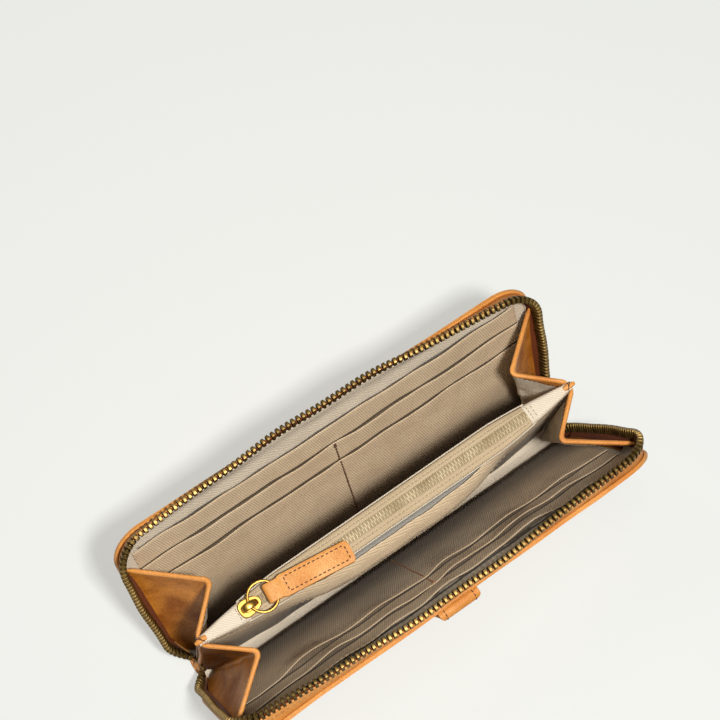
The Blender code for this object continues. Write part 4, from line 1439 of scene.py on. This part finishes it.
def ring(name, body, axes):
    """A wire ring with the faint flat where its ends are soldered."""
    angle = np.linspace(0, TAU, 72, endpoint=False)
    radius = RING_RADIUS + 0.05 * np.sin(3 * angle)
    flat = points(RING_RADIUS - radius * np.cos(angle), radius * np.sin(angle), 0.0)
    flat[:, 0] -= flat[0, 0]
    wire = RING_WIRE * (1 - 0.12 * np.exp(-(((angle - 2.2) / 0.05) ** 2)))
    wear = np.full(72 * 12, 0.8)
    obj = tube(name, placed(flat, *axes), axes[3], wire, wire, BRASS_BRIGHT, 12, True, wear)
    put(obj, body, "bright_brass", body)


def pull_half(x):
    """Half the pull's width at x from its ring."""
    wide = 3.9 + 0.75 * smooth((x - 0.8) / 2.2)
    over = np.clip(x - (PULL_END - PULL_ROUND), 0, PULL_ROUND)
    return wide - (PULL_ROUND - np.sqrt(np.maximum(PULL_ROUND**2 - over**2, 0.0)))


def pull(name, axes):
    """A leather strap folded loosely round the ring, glued, and stitched round its border."""
    layer, thick, loop_radius = 0.68, 1.16, 1.2
    x = np.concatenate([PULL_END - PULL_ROUND * (1 - np.cos(np.linspace(0, math.pi / 2, 7))),
                        np.linspace(31, 3.5, 20), np.linspace(2.8, -PULL_LOOP + 0.3, 10)])
    z = layer + 0.52 * smooth((3.0 - x) / 3.4)
    arc = np.linspace(math.pi / 2, 3 * math.pi / 2, 15)
    loop = np.column_stack([-PULL_LOOP + loop_radius * np.cos(arc), loop_radius * np.sin(arc)])
    path = np.concatenate([np.column_stack([x, z]), loop, np.column_stack([x, -z])[::-1]])
    skive = np.where(x > 2, thick, 1.0)
    skive = np.concatenate([skive, np.full(len(arc), 0.9), skive[::-1]])
    skive = np.convolve(np.pad(skive, 3, mode="edge"), np.ones(7) / 7, mode="valid")[:, None]
    tangent = unit(np.gradient(path, axis=0))
    out_x, out_z = tangent[:, 1:], -tangent[:, :1]
    x, z = path[:, :1], path[:, 1:]
    across = np.array([-1, -0.985, -0.93, -0.85, -0.7, -0.35, 0, 0.35, 0.7, 0.85, 0.93, 0.985, 1])
    grids = []
    for side in (1, -1):
        reach = side * skive / 2 - side * 0.12 * np.abs(across) ** 12
        if side > 0:
            reach = reach + 0.10 * (1 - np.abs(across) ** 8) + 0.07 * ripple(x, across * 4, 7, 5.0)
        grids.append(placed(points(x + out_x * reach, across * pull_half(x), z + out_z * reach), *axes))
    obj, _ = sheet(name, *grids, LEATHER_TAN, None, 0.12, 0.8)
    origin, x_axis, _, z_axis = axes
    bend(obj, origin - x_axis)
    put(obj, None, "tan_leather", f"{name}_leather")
    inset, near_end, far_end, corner = 1.5, 4.2, PULL_END - 2.0, 0.8
    half = PULL_HALF - inset
    loop = [(near_end, -half), (far_end - corner, -half), (far_end, -half + corner)]
    loop += [(x, -y) for x, y in reversed(loop)] + loop[:1]
    dense = np.concatenate([np.linspace(a, b, 24)[:-1] for a, b in zip(loop, loop[1:])])
    for side, label in ((1, "top"), (-1, "back")):
        line = placed(points(*dense.T, side * (layer + thick / 2 + 0.10)), *axes)
        made = stitches(f"{name}_stitches_{label}", line, z_axis * side, THREAD, 2.0, 0.68, 0.24)
        put(made, name, "thread")


def oval(low, high, half, steps, power):
    """A rounded outline from low to high along x, half wide each way along y."""
    angle = TAU * np.arange(steps) / steps
    x, y = (np.copysign(np.abs(part) ** (2 / power), part) for part in (np.cos(angle), np.sin(angle)))
    return np.column_stack([x * np.where(x > 0, high, -low), y * half])


def post(x, half_x, half_y, low, high):
    """A round post between two heights."""
    angle = TAU * np.arange(10) / 10
    outline = np.column_stack([x + half_x * np.cos(angle), half_y * np.sin(angle)])
    return rounded_plate(outline, low, high, 0.05)


def coin_slider():
    """The coin slider: two plates joined by a post, flanges over the chain, and an arched bail."""
    low, high, wide = -0.85, 1.0, 3.5
    top = [(x, y * (1.0 - 0.045 * x)) for x, y in oval(-5.0, 5.0, wide, 28, 2.6)]
    parts = [
        rounded_plate(top, high, high + 0.95, 0.32),
        rounded_plate([(x * 0.62, y * 0.55) for x, y in top], high + 0.8, high + 1.35, 0.25),
        rounded_plate(top, low - 0.8, low, 0.3),
        post(3.4, 0.9, 0.8, low - 0.1, high + 0.2),
    ]
    wide_end, wide_mouth, rail = wide * 0.93, wide * 0.9, 0.7
    for side in (1, -1):
        outline = ((-4.2, wide_end), (1.6, wide_mouth), (1.8, wide_mouth - rail), (-4.2, wide_end - rail))
        parts.append(rounded_plate([(x, side * y) for x, y in outline], high - 0.55, high + 0.3, 0.12))
    bail = ((-3.7, 0.9), (-3.9, 4.6), (2.6, 4.9), (3.4, 0.9))
    arch = bezier([(x, 0, high + z) for x, z in bail], np.linspace(0, 1, 21))
    parts.append(tube_mesh(arch, (0, 1, 0), 0.42, 1.15 + 0.35 * np.sin(np.linspace(0, math.pi, 21)), 12))
    verts, faces = merge(*parts)
    wear = np.clip(0.55 + 0.12 * (verts[:, 2] - high), 0, 1)
    corner, far_corner = box_mm("coin_slider_body")
    place = [(corner[0] + far_corner[0]) / 2, 0, COIL_Z - 0.2]
    obj = build("coin_slider", verts + place, faces, BRASS_BRIGHT, verts, wear, 38)
    put(obj, "coin_slider", "bright_brass", "coin_slider_body")


def coin_zip_hardware():
    """Slider on the coil, its ring and its pull."""
    coin_slider()
    normal = (0.0, 0.0, 1.0)
    axes = joint_axes("coin_ring", (1, 0, 0), normal)
    ring("coin_ring_wire", "coin_ring", axes)
    out = joint_at("coin_pull") - axes[0] - [RING_RADIUS, 0, 0]
    pull("coin_pull", joint_axes("coin_pull", out, normal))


def main_zip_hardware():
    """Slider at the right end of the spine, its ring and its pull."""
    normal = (1.0, 0.0, 0.0)
    ring_at = joint_at("main_ring")
    out = joint_at("main_pull") - ring_at
    main_slider(ring_at[2])
    ring("main_ring_wire", "main_ring", joint_axes("main_ring", out, normal))
    pull("main_pull", joint_axes("main_pull", out, normal))


def main_slider(bail_z):
    """The main slider: two shield plates either side of the chain, with a bail across the outer one."""
    low, high = box_mm("main_slider_body")
    x, middle, half = low[0] + 2.6, (low[2] + high[2]) / 2, (high[2] - low[2]) / 2
    shield = [(y * (1.0 + 0.05 * z), z) for z, y in oval(-half, half, 4.4, 28, 2.8)]
    parts = []
    for verts, faces, z in (
        (*rounded_plate(shield, 1.75, 2.75, 0.3), middle),
        (*rounded_plate(shield, -2.6, -1.75, 0.3), middle),
        (*post(0.0, 0.7, 0.9, -1.9, 1.9), high[2] - 1.2),
    ):
        parts.append((np.column_stack([verts[:, 2] + x, verts[:, 0], verts[:, 1] + z]), faces))
    arch = bezier([(x + out, y, bail_z) for out, y in ((2.5, -2.3), (6.6, -2.6), (6.6, 2.6), (2.5, 2.3))],
                  np.linspace(0, 1, 19))
    parts.append(tube_mesh(arch, (0, 0, 1), 0.4, 1.0, 12))
    verts, faces = merge(*parts)
    wear = np.clip(0.35 + 0.12 * (verts[:, 0] - x), 0, 1)
    obj = build("main_slider", verts, faces, BRASS_TEETH, verts, wear, 38)
    put(obj, "main_slider", "antique_brass", "main_slider_body")


def top_stop(cover):
    """The stop at the left end of a row of teeth, in line with it."""
    t = np.array([0.0, 0.015, 0.03])
    roots, tips = foot_curves(cover, -1, t)
    rise = unit(tips[1] - roots[1])
    across = unit(np.cross(rise, tips[2] - tips[0]))
    outline = [(0.95 * c, 1.75 * s) for c, s in oval(-1, 1, 1, 16, 4.0)]
    verts, faces = rounded_plate(outline, -TOOTH_TALL - 0.3, 0.25, 0.35)
    verts = placed(verts, tips[1], np.cross(across, rise), across, rise)
    obj = build(f"{cover.name}_zip_top_stop", verts, faces, BRASS_TEETH, None, np.full(len(verts), 0.5), 38)
    bend_foot(obj)
    put(obj, None, "antique_brass", f"{cover.name}_top_stop")


def bottom_stop():
    """The crimped metal block where the main slider rests."""
    low, high = box_mm("zip_bottom_stop")
    outline = [(low[0], low[1]), (high[0], low[1]), (high[0], high[1]), (low[0], high[1])]
    dense = np.concatenate([np.linspace(a, b, 5)[:-1] for a, b in zip(outline, outline[1:] + outline[:1])])
    verts, faces = rounded_plate(dense, low[2], high[2], 0.35)
    obj = build("zip_bottom_stop_metal", verts, faces, BRASS_TEETH, verts, np.full(len(verts), 0.5), 38)
    put(obj, "root", "antique_brass", "zip_bottom_stop")


def zip_end_cover():
    """The leather tab over the left end of both rows."""
    low, high = box_mm("zip_end_tab")
    centre, size = (low + high) / 2 + [5.0, -0.4, 0], (high - low) / 2 * [0.85, 0.72, 1.15]
    y, t = np.linspace(-1, 1, 13), np.linspace(0, 1, 12)[:, None]
    z = low[2] + 2 * size[2] * np.sin(math.pi * (0.12 + 0.80 * t)) ** 0.6 - 0.5 * np.abs(y) ** 3
    front = points(centre[0] + size[0] * (0.9 - 1.8 * t), centre[1] + y * size[1] * 0.96, z)
    obj, _ = sheet("zip_end_cover", front, front - [0, 0, 0.9], LEATHER_TAN, None, 0.25, 0.5)
    put(obj, "root", "tan_leather", "zip_end_tab")


# Outside of the near cover


def outer_pocket():
    """The slip pocket on the near cover, with its sewn border and the snap's stud."""
    x = columns(88.0, (0.0, 0.3, 0.7, 1.4, 3.0), 33)
    rows_h = np.concatenate([[9.0, 9.4, 10.2, 12.0], np.linspace(18, 82, 12), [86, 88.4, 89.5, 90.0]])
    wide, h = np.meshgrid(x, rows_h)
    wave = 0.25 * ripple(wide, h, 10, 45.0)
    gap = 0.5 * smooth((h - 60) / 28) * np.clip(1 - (wide / 80) ** 2, 0, 1)
    border = -0.16 * np.exp(-(((88 - np.abs(wide) - 2.6) / 0.6) ** 2))
    front = NEAR.at(wide, h, -2.55 + wave - gap - border)
    back = NEAR.at(wide, h, -1.62 + wave - gap * 0.6)
    obj, _ = sheet("outer_pocket", front, back, LEATHER_TAN, plan(wide, h), 0.3, 0.6)
    put(obj, "near_cover", "tan_leather", "near_outer_pocket")
    side, foot, top = 88 - 2.6, 9 + 2.6, 87
    path = [(side, h) for h in np.linspace(top, foot, 40)]
    path += [(x, foot) for x in np.linspace(side, -side, 80)][1:]
    path += [(-side, h) for h in np.linspace(foot, top, 40)][1:]
    outside_stitches("outer_pocket_stitches", NEAR, path, -2.62, 10, 0.24)


def snap_part(name, node, body, profile):
    """A turned piece of the snap; profile is (radius, depth) from its rim to its middle."""
    a = np.linspace(0, TAU, 28, endpoint=False)
    rings = [NEAR.at(radius * np.cos(a), SNAP_H + radius * np.sin(a), depth) for radius, depth in profile]
    verts, faces = loft(rings)
    wear = np.repeat(np.linspace(0.25, 0.9, len(profile)), len(a))
    put(build(name, verts, faces, BRASS_TEETH, verts, wear, 40), body, "antique_brass", node)


def snap_tab():
    """The tab: one strip sewn above the pocket's mouth and folded over."""
    hinge = joint_at("snap_tab")
    up_axis = np.array([0, -math.sin(NEAR.lean), math.cos(NEAR.lean)])
    in_axis = np.array([0, math.cos(NEAR.lean), math.sin(NEAR.lean)])
    origin = NEAR.at(0.0, 93.0, -4.25) - up_axis * 93.0 + in_axis * 4.25
    root_d, tab_d, crest = -1.95, -5.5, 92.6
    centre_d, radius = (root_d + tab_d) / 2, (root_d - tab_d) / 2
    path = [(h, root_d) for h in np.linspace(90.4, crest, 4)]
    turn = np.linspace(0.2, math.pi, 14)
    path += list(zip(crest + radius * np.sin(turn), centre_d + radius * np.cos(turn)))
    path += [(h, tab_d + 1.25 * float(smooth((crest - h) / 13))) for h in np.linspace(crest, 71.0, 18)][1:]
    path = np.array(path)
    shares = smooth((np.arange(len(path)) - 3) / 14)
    tangent = unit(np.gradient(path, axis=0))
    out = np.column_stack([tangent[:, 1], -tangent[:, 0]])
    across = np.array([-1, -0.97, -0.9, -0.6, -0.3, 0, 0.3, 0.6, 0.9, 0.97, 1.0])
    h, d = path[:, :1], path[:, 1:]
    half = 9.5 - 0.9 * (1 - np.sqrt(1 - np.clip((73.5 - h) / 2.5, 0, 1) ** 2))
    half = half - 1.1 * smooth((centre_d - 0.4 - d) / 1.4)

    def at(x, rise, rows=slice(None)):
        """Points at x across the strip, rise off its middle layer."""
        up, depth = h[rows] + out[rows, :1] * rise, d[rows] + out[rows, 1:] * rise
        return placed(points(x, up, depth), origin, (1, 0, 0), up_axis, in_axis)

    grids = (at(across * half, 0.56), at(across * half, -0.12 * (1 - np.abs(across) ** 6) - 0.56))
    weights = np.repeat(shares[:, None], len(across), axis=1)
    obj, w = sheet("snap_tab_strip", *grids, LEATHER_TAN, None, 0.16, 0.7, weights)
    bend(obj, hinge + in_axis * 2)
    put(obj, None, "tan_leather", "snap_tab_leather", "snap_tab_root")
    sewn = slice(5, -2)
    for side, label in ENDS:
        line = at(side * 7.0, -0.72, sewn)[:, 0]
        up = -out[sewn, :1] * up_axis - out[sewn, 1:] * in_axis
        made = stitches(f"snap_tab_stitches_{label}", line, up, THREAD, 1.9, 0.68, 0.22)
        bend(made, hinge + in_axis * 2)
        put(made, None, "thread")


def snap():
    """The cap on the tab, and the stud that it closes on."""
    cap = ((5.2, -4.9), (5.4, -5.3), (5.1, -5.8), (4.2, -6.15), (2.5, -6.35), (0.8, -6.4))
    stud = ((5.0, -2.75), (5.0, -3.0), (4.2, -3.15), (2.4, -3.15), (2.2, -3.4), (1.2, -3.5))
    snap_part("snap_cap_metal", "snap_cap", "snap_tab", cap)
    snap_part("snap_stud_metal", "snap_stud", "near_cover", stud)


# Studio

FLOOR_GLOW = 0.58
FLOOR_TONE = 0.285


def studio():
    """A pale floor, soft light from the lower right of the picture, and the camera above the wallet."""
    floor = bpy.data.meshes.new("floor")
    floor.from_pydata([(-6, -6, 0), (6, -6, 0), (6, 6, 0), (-6, 6, 0)], [], [(0, 1, 2, 3)])
    shader = Shader("floor", Roughness=0.95, Specular_IOR_Level=0.0, Emission_Strength=FLOOR_GLOW)
    shader.wire(shader.out.inputs["Emission Color"], rgb(238, 239, 234))
    floor.materials.append(shader.finish((FLOOR_TONE, FLOOR_TONE * 1.01, FLOOR_TONE * 0.965, 1.0)))
    obj = bpy.data.objects.new("floor", floor)
    bpy.context.scene.collection.objects.link(obj)
    world = bpy.data.worlds.new("world")
    world.use_nodes = True
    background = world.node_tree.nodes["Background"].inputs
    background[0].default_value = (1, 1, 1, 1)
    background[1].default_value = 0.06
    bpy.context.scene.world = world
    lamp("key", (-0.04, -0.25, 1.16), 0.11, 15.8)
    lamp("top", (-0.1, 0.0, 1.5), 0.5, 3.6)
    lamp("fill", (-0.3, 0.7, 1.3), 0.4, 1.6)
    camera()


def lamp(name, place, size, power):
    """A square soft light aimed at the wallet."""
    data = bpy.data.lights.new(name, "AREA")
    data.size = size
    data.energy = power
    obj = bpy.data.objects.new(name, data)
    obj.location = place
    obj.rotation_mode = "QUATERNION"
    obj.rotation_quaternion = (Vector((0, 0, 0.05)) - Vector(place)).to_track_quat("-Z", "Y")
    bpy.context.scene.collection.objects.link(obj)


def camera():
    """Nearly overhead, turned so that the wallet runs up to the right."""
    data = bpy.data.cameras.new("camera")
    data.sensor_width = 36.0
    data.lens = 106.8
    obj = bpy.data.objects.new("camera", data)
    right = Vector((0.8130, -0.5783, 0.0679)).normalized()
    back = Vector((-0.2022, -0.1710, 0.9643)).normalized()
    up = back.cross(right).normalized()
    right = up.cross(back)
    turn = Matrix((right, up, back)).transposed().to_4x4()
    obj.matrix_world = Matrix.Translation((-0.1495, -0.0916, 0.9207)) @ turn
    bpy.context.scene.collection.objects.link(obj)
    bpy.context.scene.camera = obj
    bpy.context.scene.view_settings.view_transform = "Standard"


def main():
    for cover in COVERS:
        shell(cover)
        shell_seam(cover)
        board(cover)
        lining(cover)
        edge_lining(cover)
        zip_tape(cover)
        welt(cover)
        zip_teeth(cover)
        card_slots(cover)
        divider(cover)
        for end, end_name in ENDS:
            gusset(cover, end, end_name)
            tape_ply(cover, end, end_name)
        gusset_cover_seam(cover)
        top_stop(cover)
    for end, end_name in ENDS:
        gusset_junction(end, end_name)
    pocket_walls()
    pocket_hems(np.linspace(-COIN_ZIP_HALF, COIN_ZIP_HALF, 60))
    coin_tapes()
    coin_coil()
    coin_end_tabs()
    coin_zip_hardware()
    main_zip_hardware()
    bottom_stop()
    zip_end_cover()
    outer_pocket()
    snap_tab()
    snap()
    studio()


main()
